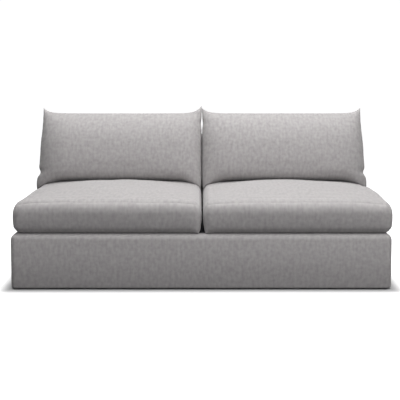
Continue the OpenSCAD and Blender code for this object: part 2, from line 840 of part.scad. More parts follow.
// One spring snakes from the front batten to the rear one and arches up between them
spring_path = concat(
    [[-spring_straight, spring_front_y, spring_end_z]],
    [for (run = [0 : spring_runs - 2])
        let (side = run % 2 == 0 ? 1 : -1,
             y = spring_front_y + (run + 0.5) * spring_pitch)
        for (a = bend_angles)
            let (bend_y = y + spring_bend_r * sin(a))
            [side * (spring_straight + spring_bend_r * cos(a)), bend_y, spring_z(bend_y)]],
    [[spring_straight, spring_rear_y, spring_end_z]]);

function spring_x(k) = side_rail_x * (k + 0.5) / spring_count;

module seat_springs(side) {
    color(steel_colour)
        for (k = [0 : spring_count - 1])
            translate([side * spring_x(k), 0, 0])
                wire(spring_path, spring_wire / 2, wire_sides);
}
module seat_springs_left() seat_springs(-1);
module seat_springs_right() seat_springs(1);

// A clip is a plate on the batten with a curl over the wire
module spring_clip(y) {
    translate([-clip_w / 2, y, spring_end_z])
        rotate([90, 0, 90])
            linear_extrude(clip_w)
                difference() {
                    union() {
                        circle(r = clip_bore_r + clip_t);
                        translate([-clip_plate_l / 2, -clip_bore_r - clip_t])
                            square([clip_plate_l, clip_t]);
                    }
                    circle(r = clip_bore_r);
                }
}

module spring_clips() {
    color(steel_colour)
        for (side = [-1, 1]) for (k = [0 : spring_count - 1]) for (y = [spring_front_y, spring_rear_y])
            translate([side * spring_x(k), 0, 0]) spring_clip(y);
}

module tie_wires() {
    color(steel_colour)
        for (share = tie_shares)
            let (y = spring_y(share), slack = (spring_wire + tie_wire) / 2 + fit_gap)
            translate([-side_rail_x, y, spring_z(y) - slack - tie_wire / 4])
                rotate([0, 90, 0]) cylinder(d = tie_wire, h = 2 * side_rail_x);
}

// Webbing, its ends folded double where they are tacked

strap_lap = 34;         // length tacked to a rail
function strap_x(k) = post_x * (2 * (k + 0.5) / strap_count - 1);
slope_l = (top_rail_z + web_rail_h * cos(back_slope) - web_rail_z) / cos(back_slope);

module back_webbing_upright() {
    color(webbing_colour)
        on_slope(web_rail_z, rail_layer)
            for (k = [0 : strap_count - 1])
                translate([strap_x(k) - strap_w / 2, -strap_t, 0])
                    difference() {
                        cube([strap_w, strap_t, slope_l - strap_t]);
                        if (abs(strap_x(k)) + strap_w / 2 > post_x)
                            translate([strap_x(k) > 0 ? post_x - strap_x(k) + strap_w / 2 : -strap_w,
                                -cut_over, -cut_over])
                                cube([strap_w, strap_t + 2 * cut_over, slope_l + 2 * cut_over]);
                    }
}

module back_webbing_level() {
    fold_t = rail_layer - web_layer;
    color(webbing_colour)
        on_slope(web_rail_z, web_layer)
            for (k = [1 : level_strap_count])
                translate([0, 0, slope_l * k / (level_strap_count + 1) - strap_w / 2]) {
                    translate([-post_x - strap_lap, 0, 0])
                        cube([2 * (post_x + strap_lap), strap_t, strap_w]);
                    for (side = [-1, 1])
                        translate([side * (post_x + strap_lap / 2) - strap_lap / 2, 0, 0])
                            cube([strap_lap, fold_t, strap_w]);
                }
}

// Upholstered forms

// A ball whose facets reach its full radius up, down and sideways
module ball(r) {
    rotate_extrude() intersection() {
        circle(r);
        translate([0, -r]) square([r, 2 * r]);
    }
}

// Outer form of the base, set in by a thickness and run on behind by an overrun
module base_form(inset, behind) {
    r = edge_r - inset;
    x = half_w - edge_r;
    hull() for (side = [-1, 1]) {
        translate([side * x, front_y + edge_r, base_h - edge_r]) ball(r);
        translate([side * x, front_y + edge_r, cover_bottom_z]) cylinder(r = r, h = slice);
        translate([side * x, deck_rear_y + behind, base_h - edge_r])
            rotate([90, 0, 0]) cylinder(r = r, h = slice);
        translate([side * (half_w - inset - slice / 2) - slice / 2, deck_rear_y + behind - slice,
            cover_bottom_z])
            cube(slice);
    }
}

// Outer form of the back, set in by a thickness
module back_form(inset) {
    r = edge_r - inset;
    x = half_w - edge_r;
    z = back_h - edge_r;
    hull() for (side = [-1, 1]) {
        translate([side * x, back_face_y(z, edge_r), z]) rotate([-back_slope, 0, 0]) ball(r);
        translate([side * x, rear_y - edge_r, z]) ball(r);
        translate([side * x, rear_y - edge_r, cover_bottom_z]) cylinder(r = r, h = slice);
        translate([side * (half_w - seam_r), deck_rear_y + seam_r, cover_bottom_z])
            cylinder(r = seam_r - inset, h = base_h - cover_bottom_z);
    }
}

// The space under a form that its hem leaves open, and everything below the form
module under(x, y0, y1) {
    translate([-x, y0, cover_bottom_z - cut_over])
        cube([2 * x, y1 - y0, cover_t + cut_over + slice]);
}

deck_x = half_w - lip_w;
deck_front_y = front_y + lip_w;
deck_back_y = deck_rear_y - lip_w;

module base_cover() {
    color(fabric_colour)
        difference() {
            base_form(0, 0);
            intersection() {
                base_form(cover_t, cut_over);
                translate([-sofa_w, -sofa_d, frame_bottom_z]) cube([2 * sofa_w, 2 * sofa_d, sofa_d]);
            }
            under(half_w - hem_w, front_y + hem_w, deck_rear_y + cut_over);
            translate([-deck_x, deck_front_y, base_h - 2 * cover_t])
                cube([2 * deck_x, deck_back_y - deck_front_y, 4 * cover_t]);
        }
}

module back_cover() {
    color(fabric_colour)
        difference() {
            back_form(0);
            intersection() {
                back_form(cover_t);
                translate([-sofa_w, -sofa_d, frame_bottom_z]) cube([2 * sofa_w, 2 * sofa_d, sofa_d]);
            }
            under(half_w - hem_w, deck_rear_y - cut_over, rear_y - hem_w);
            translate([-frame_x, deck_rear_y - cut_over, cover_bottom_z - cut_over])
                cube([2 * frame_x, 2 * cut_over, frame_top_z + cut_over - cover_bottom_z]);
        }
}

// The foam on the rails, cut into a front piece and two side pieces
pad_split_x = frame_x - rail_t / 2;
pad_split_y = frame_front_y + rail_t / 2;

module rail_pads() {
    difference() {
        base_form(cover_inset, -fit_gap);
        translate([-frame_x, frame_front_y, cover_bottom_z - cut_over])
            cube([2 * frame_x, sofa_d, frame_top_z - cover_bottom_z + cut_over]);
        translate([-sofa_w, -sofa_d, cover_bottom_z - cut_over])
            cube([2 * sofa_w, 2 * sofa_d, cover_t + cut_over]);
        translate([-pad_split_x, pad_split_y, frame_bottom_z])
            cube([2 * pad_split_x, sofa_d, base_h]);
    }
}

module front_pad() {
    color(foam_colour)
        intersection() {
            rail_pads();
            translate([-pad_split_x, -sofa_d, 0]) cube([2 * pad_split_x, 2 * sofa_d, base_h]);
        }
}

module side_pad(side) {
    x = side > 0 ? pad_split_x + fit_gap : -sofa_w - pad_split_x - fit_gap;
    color(foam_colour)
        intersection() {
            rail_pads();
            translate([x, -sofa_d, 0]) cube([sofa_w, 2 * sofa_d, base_h]);
        }
}
module side_pad_left() side_pad(-1);
module side_pad_right() side_pad(1);

module deck_pad() {
    x = pad_split_x - fit_gap;
    y = pad_split_y + fit_gap;
    color(foam_colour)
        translate([-x, y, frame_top_z])
            cube([2 * x, deck_rear_y - fit_gap - y, pad_t - fit_gap]);
}

module deck_cloth() {
    color(black_colour)
        translate([-deck_x, deck_front_y, base_h - cover_t])
            cube([2 * deck_x, deck_back_y - deck_front_y, deck_cloth_t]);
}

// Side view of what the back's foam goes round
module back_inner_shape() {
    polygon([
        [back_face_y(frame_bottom_z, web_layer - fit_gap), frame_bottom_z],
        [back_face_y(post_top_z, web_layer - fit_gap), post_top_z],
        [2 * rear_y, post_top_z],
        [2 * rear_y, frame_bottom_z]
    ]);
}

module back_foam() {
    color(foam_colour)
        difference() {
            intersection() {
                back_form(cover_inset);
                translate([-frame_x, -sofa_d, frame_top_z + fit_gap])
                    cube([2 * frame_x, 2 * sofa_d, back_h]);
            }
            translate([-sofa_w, 0, 0])
                rotate([90, 0, 90]) linear_extrude(2 * sofa_w) back_inner_shape();
        }
}

module back_side_pad(side) {
    x = side > 0 ? frame_x + fit_gap : -sofa_w - frame_x - fit_gap;
    color(foam_colour)
        intersection() {
            back_form(cover_inset);
            translate([x, -sofa_d, frame_bottom_z]) cube([sofa_w, 2 * sofa_d, back_h]);
        }
}
module back_side_pad_left() back_side_pad(-1);
module back_side_pad_right() back_side_pad(1);

// Feet and the dust cover

front_foot = [side_rail_x - foot_d / 2, side_rail_y + foot_d / 2];
rear_foot = [post_x - foot_d / 2, bottom_rail_y - foot_d / 2];
foot_places = [
    [-front_foot[0], front_foot[1]], [0, front_foot[1]], front_foot,
    [-rear_foot[0], rear_foot[1]], [0, rear_foot[1]], rear_foot
];

module at_feet() {
    for (p = foot_places) translate([p[0], p[1], 0]) children();
}

module foot_screw() {
    translate([0, 0, foot_recess_h]) rotate([180, 0, 0])
        fastener(screw_d, foot_screw_l, screw_head_d, screw_head_h);
}

module foot_screw_hole() {
    translate([0, 0, -cut_over])
        cylinder(d = screw_d + 2 * bore_gap, h = foot_recess_h + foot_screw_l + bore_gap + cut_over);
}

module foot() {
    r = foot_d / 2;
    difference() {
        rotate_extrude()
            polygon([
                [0, 0], [r - foot_chamfer, 0], [r, foot_chamfer],
                [r, foot_h], [0, foot_h]
            ]);
        foot_screw_hole();
        translate([0, 0, -cut_over])
            cylinder(d = screw_head_d + 2 * bore_gap, h = cut_over + foot_recess_h + screw_head_h);
    }
}

module feet() {
    color(black_colour) at_feet() foot();
}

module foot_screws() {
    color(steel_colour) at_feet() foot_screw();
}

module dust_cover() {
    x = half_w - hem_w - fit_gap;
    y = rear_y - hem_w - fit_gap;
    color(black_colour)
        difference() {
            translate([-x, -y, frame_bottom_z - dust_cover_t]) cube([2 * x, 2 * y, dust_cover_t]);
            at_feet() translate([0, 0, -cut_over]) cylinder(d = foot_d + 2 * fit_gap, h = foot_h + 2 * cut_over);
        }
}

module seat_cover_left() on_left() seat_cover();
module seat_cover_right() on_right() seat_cover();
module seat_core_left() on_left() seat_core();
module seat_core_right() on_right() seat_core();
module back_cushion_cover_left() on_left() back_cushion_cover();
module back_cushion_cover_right() on_right() back_cushion_cover();
module back_cushion_fill_left() on_left() back_cushion_fill();
module back_cushion_fill_right() on_right() back_cushion_fill();
module seat_zip_left() on_left() on_seat_rear() zip();
module seat_zip_right() on_right() on_seat_rear() zip();
module back_zip_left() on_left() on_pillow_rear() zip();
module back_zip_right() on_right() on_pillow_rear() zip();
module seat_zip_slider_left() on_left() on_seat_rear() zip_slider();
module seat_zip_slider_right() on_right() on_seat_rear() zip_slider();
module back_zip_slider_left() on_left() on_pillow_rear() zip_slider();
module back_zip_slider_right() on_right() on_pillow_rear() zip_slider();

front_rail();
rear_rail();
side_rail_left();
side_rail_right();
centre_rail();
spring_batten_front();
spring_batten_rear();
corner_blocks();
back_post_left();
back_post_right();
back_post_centre();
back_top_rail();
back_web_rail();
back_bottom_rail();
back_panel();
frame_screws();
back_bolts();
seat_springs_left();
seat_springs_right();
spring_clips();
tie_wires();
back_webbing_upright();
back_webbing_level();
front_pad();
side_pad_left();
side_pad_right();
deck_pad();
deck_cloth();
back_foam();
back_side_pad_left();
back_side_pad_right();
base_cover();
back_cover();
dust_cover();
feet();
foot_screws();
seat_cover_left();
seat_cover_right();
seat_core_left();
seat_core_right();
back_cushion_cover_left();
back_cushion_cover_right();
back_cushion_fill_left();
back_cushion_fill_right();
seat_zip_left();
seat_zip_right();
back_zip_left();
back_zip_right();
seat_zip_slider_left();
seat_zip_slider_right();
back_zip_slider_left();
back_zip_slider_right();
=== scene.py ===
import json
import math

import bpy
import numpy as np
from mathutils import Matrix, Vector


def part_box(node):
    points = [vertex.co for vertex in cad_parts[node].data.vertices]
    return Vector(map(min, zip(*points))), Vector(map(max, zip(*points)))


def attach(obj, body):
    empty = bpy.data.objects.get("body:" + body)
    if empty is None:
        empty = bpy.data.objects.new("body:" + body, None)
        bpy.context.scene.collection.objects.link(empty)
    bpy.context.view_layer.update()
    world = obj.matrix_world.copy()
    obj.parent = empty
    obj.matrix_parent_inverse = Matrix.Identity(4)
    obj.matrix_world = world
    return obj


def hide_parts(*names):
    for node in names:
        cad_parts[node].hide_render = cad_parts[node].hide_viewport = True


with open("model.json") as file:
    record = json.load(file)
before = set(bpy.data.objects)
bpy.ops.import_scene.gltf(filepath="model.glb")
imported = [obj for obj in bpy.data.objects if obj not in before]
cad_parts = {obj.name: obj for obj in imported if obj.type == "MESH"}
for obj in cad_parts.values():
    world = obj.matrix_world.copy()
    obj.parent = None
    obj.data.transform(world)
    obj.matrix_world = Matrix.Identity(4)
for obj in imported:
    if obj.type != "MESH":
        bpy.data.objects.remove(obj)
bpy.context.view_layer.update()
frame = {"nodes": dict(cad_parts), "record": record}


def ease(value):
    # Smooth step of a share: 3t^2 - 2t^3, held between 0 and 1
    t = np.clip(value, 0, 1)
    return t * t * (3 - 2 * t)


def ripple(x, y, size, seed, waves=7):
    # Twice the mean of sine waves in random directions, each 0.7 to 1.5 times `size` metres long
    draw = np.random.default_rng(seed)
    turn = draw.uniform(0, 2 * math.pi, waves)
    phase = draw.uniform(0, 2 * math.pi, waves)
    length = size * draw.uniform(0.7, 1.5, waves)
    along = np.multiply.outer(x, np.cos(turn)) + np.multiply.outer(y, np.sin(turn))
    return np.sin(2 * math.pi * along / length + phase).mean(axis=-1) * 2


def places(low, high, step, rims=(), extra=()):
    # Even steps from low to high, with closer ones at the rims' distances from both ends. The extra
    # places are all kept, and even ones near them give way
    rims = np.asarray([0.0, *rims])
    count = max(1, round((high - low - 2 * rims[-1]) / step))
    middle = np.linspace(low + rims[-1], high - rims[-1], count + 1)
    found = np.concatenate([low + rims, middle, high - rims])
    farAway = 1e3  # Stands in where there is no extra place
    far = np.min(np.abs(found[:, None] - np.asarray([*extra, farAway])), axis=1) > step * 0.45
    return np.unique(np.round(np.concatenate([found[far], extra]), 6))


def gridQuads(rows, columns):
    # The quads of a grid of points kept row by row, facing columns x rows
    first = (np.arange(rows - 1)[:, None] * columns + np.arange(columns - 1)).ravel()
    return np.column_stack([first, first + 1, first + columns + 1, first + columns])


def weld(panels):
    # Joins panels, each a dictionary of arrays with one row per point, where their keys agree.
    # The cloth coordinates stay apart, one for each corner of a quad
    starts = np.cumsum([0] + [len(panel["key"]) for panel in panels])
    quads = np.concatenate([panel["quads"] + start for panel, start in zip(panels, starts)])
    stacked = {name: np.concatenate([panel[name] for panel in panels])
               for name in panels[0] if name != "quads"}
    keys = np.round(stacked["key"], 5) + 0.0  # Adding nothing turns -0 into 0
    first, index = np.unique(keys, axis=0, return_index=True, return_inverse=True)[1:]
    joined = {name: values[first] for name, values in stacked.items()}
    joined["corners"] = stacked["cloth"][quads.ravel()]
    joined["quads"] = index.ravel()[quads]
    return joined


def makeObject(name, points, quads, material):
    mesh = bpy.data.meshes.new(name)
    mesh.from_pydata(points.tolist(), [], quads.tolist())
    mesh.polygons.foreach_set("use_smooth", np.ones(len(mesh.polygons), bool))
    mesh.materials.append(material)
    made = bpy.data.objects.new(name, mesh)
    bpy.context.scene.collection.objects.link(made)
    return made


def makePiece(name, form, body, slot):
    # A piece of the sofa from a form's points, quads and cloth coordinates
    piece = makeObject(name, form["points"], form["quads"], finishes[slot])
    layer = piece.data.uv_layers.new(name="cloth")
    layer.data.foreach_set("uv", form["corners"].astype(np.float32).ravel())
    piece.data.update()
    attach(piece, body)
    return piece


def refine(piece):
    finer = piece.modifiers.new("finer", "SUBSURF")
    finer.levels = finer.render_levels = 1


def readPoints(piece, what="co"):
    values = np.empty(len(piece.data.vertices) * 3, np.float32)
    piece.data.vertices.foreach_get(what, values)
    return values.reshape(-1, 3).astype(float)


def writePoints(piece, points):
    piece.data.vertices.foreach_set("co", points.astype(np.float32).ravel())
    piece.data.update()


class Wire:
    # One output of a node, in an expression that adds Math nodes
    def __init__(self, shader, socket):
        self.shader, self.socket = shader, socket

    def __add__(self, other):
        return self.shader.maths("ADD", self, other)

    def __sub__(self, other):
        return self.shader.maths("SUBTRACT", self, other)

    def __rsub__(self, other):
        return self.shader.maths("SUBTRACT", other, self)

    def __mul__(self, other):
        return self.shader.maths("MULTIPLY", self, other)

    def __abs__(self):
        return self.shader.maths("ABSOLUTE", self)

    __radd__, __rmul__ = __add__, __mul__


class Shader:
    def __init__(self, name):
        self.material = bpy.data.materials.new(name)
        self.material.use_nodes = True
        self.tree = self.material.node_tree
        self.tree.nodes.clear()

    def node(self, kind, settings=None, inputs=None, output=0):
        # Settings first, then the sockets by name or number, each a value or a wire
        made = self.tree.nodes.new(kind)
        for name, value in (settings or {}).items():
            setattr(made, name, value)
        for name, value in (inputs or {}).items():
            if isinstance(value, Wire):
                self.tree.links.new(value.socket, made.inputs[name])
            else:
                made.inputs[name].default_value = value
        return Wire(self, made.outputs[output]) if made.outputs else made

    def maths(self, operation, *values):
        return self.node("ShaderNodeMath", {"operation": operation}, dict(enumerate(values)))

    def vectors(self, operation, *values, output=0):
        return self.node("ShaderNodeVectorMath", {"operation": operation}, dict(enumerate(values)), output)

    def objectSpot(self):
        # A point's place in the object's own coordinates
        return self.node("ShaderNodeTexCoord", output=3)

    def mix(self, factor, first, second):
        # Colours only: sockets 6 and 7 are the colours, output 2 their mix
        return self.node("ShaderNodeMix", {"data_type": "RGBA"}, {0: factor, 6: first, 7: second}, 2)

    def smoothRange(self, value, low, high):
        # 0 below the low value and 1 above the high one, with a smooth step between them
        return self.node("ShaderNodeMapRange", {"interpolation_type": "SMOOTHSTEP"},
                         {"Value": value, "From Min": low, "From Max": high})

    def noise(self, vector, scale, detail=2.0, roughness=0.5):
        return self.node("ShaderNodeTexNoise", {}, {
            "Vector": vector, "Scale": scale, "Detail": detail, "Roughness": roughness})

    def bump(self, height, strength, millimetres):
        return self.node("ShaderNodeBump", {}, {
            "Strength": strength, "Distance": millimetres / 1000, "Height": height})

    def finish(self, **sockets):
        # The Principled shader, with sockets by their names in words
        inputs = {name.replace("_", " "): value for name, value in sockets.items()}
        surface = self.node("ShaderNodeBsdfPrincipled", {}, inputs)
        self.node("ShaderNodeOutputMaterial", {}, {"Surface": surface})
        return self.material


def tint(red, green, blue):
    # A screen colour, 0 to 255, given as Blender's linear values
    shares = np.array([red, green, blue]) / 255
    linear = np.where(shares <= 0.04045, shares / 12.92, ((shares + 0.055) / 1.055) ** 2.4)
    return (*linear.tolist(), 1.0)


studio = {
    "lensPixels": 727.0, "distance": 3.548, "height": 1.045, "pitch": 0.075,
    "shiftAcross": -1.2, "shiftUp": 66.1, "imageSize": 400, "sensor": 36.0, "frontY": -0.5,
    # The floor's emission fades out towards the sofa's foot, which paints a contact shadow round it
    "world": 0.04, "floorColour": (0.5, 0.5, 0.5, 1), "paintedShadowFadeFrom": 0.0, "paintedShadowFadeTo": 0.10,
    "footprint": (0.95, 0.5, 30),  # The sofa's half width and half depth, and more than its height
    "cardMargin": 0.45, "cardDrop": 0.002,
    "paperRings": (0.001, 3.0, 9.0, 14.0, 16.0, 16.0, 12.0, 5.0),
    "paperLevels": (0.0, 0.0, 0.0, 0.6, 3.0, 9.0, 13.0, 15.0), "paperSteps": 96,
}

lights = {  # Place, turn in degrees, size, power and colour
    "overhead": ((0, -0.6, 3.4), (0, 0, 0), (4.5, 3.5), 160, (1, 1, 1)),
    "front": ((0, -4.5, 2.2), (70, 0, 0), (4, 2), 81, (0.975, 0.97, 1.0)),
    "rear": ((0, 0.9, 2.6), (-30, 0, 0), (3, 1), 9, (1, 1, 1)),
    "right": ((2.6, -2.2, 2.0), (60, 0, 48), (1.5, 1.5), 31, (1, 1, 1)),
}


def makeCamera():
    # Focal length and shifts in pixels become Blender's millimetres and shares of the frame
    data = bpy.data.cameras.new("camera")
    data.sensor_width = studio["sensor"]
    data.lens = studio["lensPixels"] / studio["imageSize"] * studio["sensor"]
    data.shift_x = studio["shiftAcross"] / studio["imageSize"]
    data.shift_y = -studio["shiftUp"] / studio["imageSize"]
    camera = bpy.data.objects.new("camera", data)
    camera.location = (0, studio["frontY"] - studio["distance"], studio["height"])
    camera.rotation_euler = (math.pi / 2 - studio["pitch"], 0, 0)
    bpy.context.scene.collection.objects.link(camera)
    bpy.context.scene.camera = camera


def makeLight(name, place, turn, size, power, colour):
    data = bpy.data.lights.new(name, "AREA")
    data.shape, data.size, data.size_y, data.energy = "RECTANGLE", size[0], size[1], power
    data.color = colour
    light = bpy.data.objects.new(name, data)
    light.location, light.rotation_euler = place, [math.radians(angle) for angle in turn]
    bpy.context.scene.collection.objects.link(light)


def paperFinish():
    # Painted contact shadow: the emission is nothing at the sofa's foot, so the grey paper shows dark there,
    # and rises to full a hand's width outside it, by the length of |x|, |y| beyond the sofa's half width and
    # half depth
    s = Shader("studioPaper")
    beyond = s.vectors("SUBTRACT", s.vectors("ABSOLUTE", s.objectSpot()), studio["footprint"])
    away = s.vectors("LENGTH", s.vectors("MAXIMUM", beyond, (0, 0, 0)), output=1)
    # Painted contact shadow: no emission at the sofa's foot, full emission a hand's width out
    emissionPastPaintedShadow = s.smoothRange(away, studio["paintedShadowFadeFrom"], studio["paintedShadowFadeTo"])
    return s.finish(Base_Color=studio["floorColour"], Roughness=1.0,
                    Emission_Color=s.mix(emissionPastPaintedShadow, (0, 0, 0, 1), (1, 1, 1, 1)), Emission_Strength=1.0)


def makePaper():
    # A wide floor that turns up into a wall and leans in above: each ring's radius times the
    # cosine and the sine of the turn, at the ring's own level
    turn = np.linspace(0, 2 * math.pi, studio["paperSteps"], endpoint=False)
    rings, levels = np.array(studio["paperRings"]), np.array(studio["paperLevels"])
    points = np.stack([np.outer(rings, np.cos(turn)), np.outer(rings, np.sin(turn)),
                       np.outer(levels, np.ones(len(turn)))], axis=-1).reshape(-1, 3)
    around = np.arange(len(turn))
    after = (around + 1) % len(turn)
    row = np.arange(len(rings) - 1)[:, None] * len(turn)
    quads = np.stack([row + around, row + after, row + len(turn) + after,
                      row + len(turn) + around], axis=-1).reshape(-1, 4)
    paper = makeObject("paper", points, quads, paperFinish())
    paper.visible_diffuse = paper.visible_glossy = paper.visible_shadow = False


def makeCard():
    # A black card under the paper keeps light from coming up at the foot of the sofa
    wide, deep = (half + studio["cardMargin"] for half in studio["footprint"][:2])
    level = -studio["cardDrop"]
    corners = np.array([[-wide, -deep, level], [wide, -deep, level],
                        [wide, deep, level], [-wide, deep, level]])
    card = makeObject("blackCard", corners, np.array([[0, 1, 2, 3]]),
                      Shader("blackFlock").finish(Base_Color=(0.01, 0.01, 0.01, 1), Roughness=1.0))
    card.visible_camera = card.visible_glossy = card.visible_shadow = False


def makeStudio():
    world = bpy.data.worlds.new("studio")
    bpy.context.scene.world = world
    world.use_nodes = True
    world.node_tree.nodes["Background"].inputs["Color"].default_value = (1, 1, 1, 1)
    world.node_tree.nodes["Background"].inputs["Strength"].default_value = studio["world"]
    for name, settings in lights.items():
        makeLight(name, *settings)
    makePaper()
    makeCard()
    bpy.context.scene.view_settings.view_transform = "Standard"
    print("studio and camera ready")


makeCamera()
makeStudio()


weave = {
    "light": tint(175, 172, 171), "dark": tint(149, 146, 146), "soiled": tint(150, 146, 146),
    "thread": 0.0016, "streakAcross": 76, "streakAlong": 24, "mottle": 60.0, "mottleRoughness": 0.4,
    "uprightShare": 0.44, "levelShare": 0.16, "mottleShare": 0.40,
    "darkest": 0.255, "lightest": 0.745,  # Values of the yarn's noise
    "soil": 3.0, "soilShare": 0.12, "reliefHeight": 0.5, "yarnHeight": 0.9,
    "bumpStrength": 0.55, "bump": 0.25, "roughness": 0.92, "sheen": 0.25, "gloss": 0.2,
}

plain = {"detail": 5.0, "noiseRoughness": 0.6, "bumpStrength": 0.4, "roughnessSpread": 0.2}


def fabricFinish(name):
    # Warp and weft as two sine ridges that take turns, under slubs stretched along each thread
    s, w = Shader(name), weave
    cloth = s.node("ShaderNodeUVMap", {"uv_map": "cloth"})
    across = s.node("ShaderNodeSeparateXYZ", {}, {0: cloth}, 0)
    along = s.node("ShaderNodeSeparateXYZ", {}, {0: cloth}, 1)
    turns = math.pi / w["thread"]
    warp, weft = s.maths("SINE", across * turns), s.maths("SINE", along * turns)
    over = s.maths("GREATER_THAN", warp * weft, 0.0)
    relief = abs(warp) * over + abs(weft) * (1 - over)
    upright = s.noise(s.vectors("MULTIPLY", cloth, (w["streakAcross"], w["streakAlong"], 1)), 1.0)
    level = s.noise(s.vectors("MULTIPLY", cloth, (w["streakAlong"] * 2, w["streakAcross"], 1)), 1.0)
    mottle = s.noise(cloth, w["mottle"], roughness=w["mottleRoughness"])
    yarn = upright * w["uprightShare"] + level * w["levelShare"] + mottle * w["mottleShare"]
    colour = s.mix(s.smoothRange(yarn, w["darkest"], w["lightest"]), w["dark"], w["light"])
    colour = s.mix(s.noise(cloth, w["soil"]) * w["soilShare"], colour, w["soiled"])
    bump = s.bump(relief * w["reliefHeight"] + yarn * w["yarnHeight"], w["bumpStrength"], w["bump"])
    return s.finish(Base_Color=colour, Roughness=w["roughness"], Normal=bump,
                    Sheen_Weight=w["sheen"], Sheen_Roughness=0.5, Specular_IOR_Level=w["gloss"])


def plainFinish(name, colour, roughness, metal=0.0, scale=60.0, depth=0.2, stretch=(1, 1, 1), spread=0.12):
    # A noise in the object's own coordinates varies the colour, the roughness and the relief
    s = Shader(name)
    grain = s.noise(s.vectors("MULTIPLY", s.objectSpot(), stretch), scale,
                    plain["detail"], plain["noiseRoughness"])
    dark = tuple(part * (1 - 2 * spread) for part in colour[:3]) + (1,)
    uneven = grain * plain["roughnessSpread"] + (roughness - plain["roughnessSpread"] / 2)
    return s.finish(Base_Color=s.mix(grain, dark, colour), Metallic=metal, Roughness=uneven,
                    Normal=s.bump(grain, plain["bumpStrength"], depth))


fabric = fabricFinish("heatherGreyWeave")
finishes = {
    "frame_wood": plainFinish("pinePlank", tint(205, 170, 122), 0.6, 0, 9, 0.3, (2, 26, 26), 0.16),
    "back_board": plainFinish("pressedBoard", tint(141, 110, 76), 0.75, 0, 90, 0.3),
    "fastener_steel": plainFinish("zincSteel", tint(176, 178, 181), 0.38, 1.0, 200, 0.05),
    "spring_steel": plainFinish("oiledSpringSteel", tint(120, 122, 126), 0.35, 1.0, 150, 0.05),
    "webbing": plainFinish("juteWebbing", tint(150, 132, 100), 0.95, 0, 420, 0.5),
    "foam": plainFinish("cushionFoam", tint(236, 226, 190), 0.95, 0, 260, 0.6),
    "fibre_fill": plainFinish("whiteFibre", tint(238, 238, 236), 1.0, 0, 80, 1.5),
    "deck_cloth": plainFinish("deckCloth", tint(58, 58, 61), 0.9, 0, 500, 0.2),
    "dust_cloth": plainFinish("blackCambric", tint(34, 34, 36), 0.95, 0, 600, 0.2),
    "foot_plastic": plainFinish("blackFootPlastic", tint(30, 30, 32), 0.45, 0, 300, 0.08),
    "zip_tape": plainFinish("greyZipTape", tint(112, 110, 110), 0.85, 0, 700, 0.2),
    "slider_metal": plainFinish("nickelSlider", tint(170, 170, 172), 0.3, 1.0, 200, 0.05),
    "frame_fabric": fabric,
    "cushion_fabric": fabric,
}


def dressNodes():
    # Every carried-over CAD node takes the finish of its slot in the record
    for part in frame["record"]["subparts"]:
        mesh = frame["nodes"][part["node"]].data
        mesh.materials.clear()
        mesh.materials.append(finishes[part["material_slot"]])
        mesh.polygons.foreach_set("material_index", np.zeros(len(mesh.polygons), np.int32))


dressNodes()
print("finishes ready")


def axisPlaces(low, high, step, turns, extra=()):
    # Along one side of a box: the places of the rounding's centre, and how far the outward
    # direction leans there, -1 to 1
    middle = places(low, high, step, (), extra)
    turns = np.asarray(turns, float)
    return (np.concatenate([np.full(len(turns), low), middle, np.full(len(turns), high)]),
            np.concatenate([-turns[::-1], np.zeros(len(middle)), turns]))


def evenPower(slope):
    # Plainly round edges
    return 2.0


def roundedBox(axes, limits, reaches, power=evenPower):
    # A point lies at its place where the box is flat along an axis. Where it turns, it lies
    # inside the box's limit by the reach times one minus the outward direction. That runs over
    # a cube, and is scaled until the sum of its powers is one: 2 gives round edges, more gives
    # fuller ones
    panels = []
    lowest, highest = np.array(limits)[:, :1], np.array(limits)[:, 1:]
    for axis in range(3):
        u, v = (axis + 1) % 3, (axis + 2) % 3
        for side in (-1, 1):
            cu, cv = np.meshgrid(axes[u][0], axes[v][0])
            tu, tv = np.meshgrid(axes[u][1], axes[v][1])
            place, slope = np.zeros((3, cu.size)), np.empty((3, cu.size))
            place[u], place[v] = cu.ravel(), cv.ravel()
            slope[u], slope[v], slope[axis] = tu.ravel(), tv.ravel(), side
            way = slope / (np.abs(slope) ** power(slope)).sum(axis=0) ** (1 / power(slope))
            inset = reaches(slope, way) * (1 - np.abs(way))
            points = np.where(slope < 0, lowest + inset, np.where(slope > 0, highest - inset, place)).T
            quads = gridQuads(*cu.shape)
            flat = [other for other in range(3) if other != axis]
            panels.append({
                "points": points, "slope": slope.T, "key": np.where(slope == 0, place, slope * 9).T,
                "cloth": points[:, flat], "quads": quads if side > 0 else quads[:, ::-1],
            })
    return weld(panels)


def nearEdge(slope, width):
    # 1 on an edge of the box, falling to 0 at `width` of the lean away from it
    return np.clip((np.abs(slope) - (1 - width)) / width, 0, 1)


zipSlot = {
    "halfLength": 0.26, "halfWidth": 0.0045, "wall": 0.0017, "bandHalf": 0.0115, "bandEnd": 0.272,
    "floor": -0.0028, "rim": 0.0028, "fall": 0.35, "near": 0.03, "slack": 0.0004,
}


def slotRows():
    # Rows of points across a zip's slot, from its middle line
    half = [zipSlot["halfWidth"], zipSlot["halfWidth"] + zipSlot["wall"], zipSlot["bandHalf"]]
    return np.array([-half[2], -half[1], -half[0], half[0], half[1], half[2]])


def slotEnds():
    end = zipSlot["halfLength"]
    return [-end - zipSlot["wall"], -end, end, end + zipSlot["wall"]]


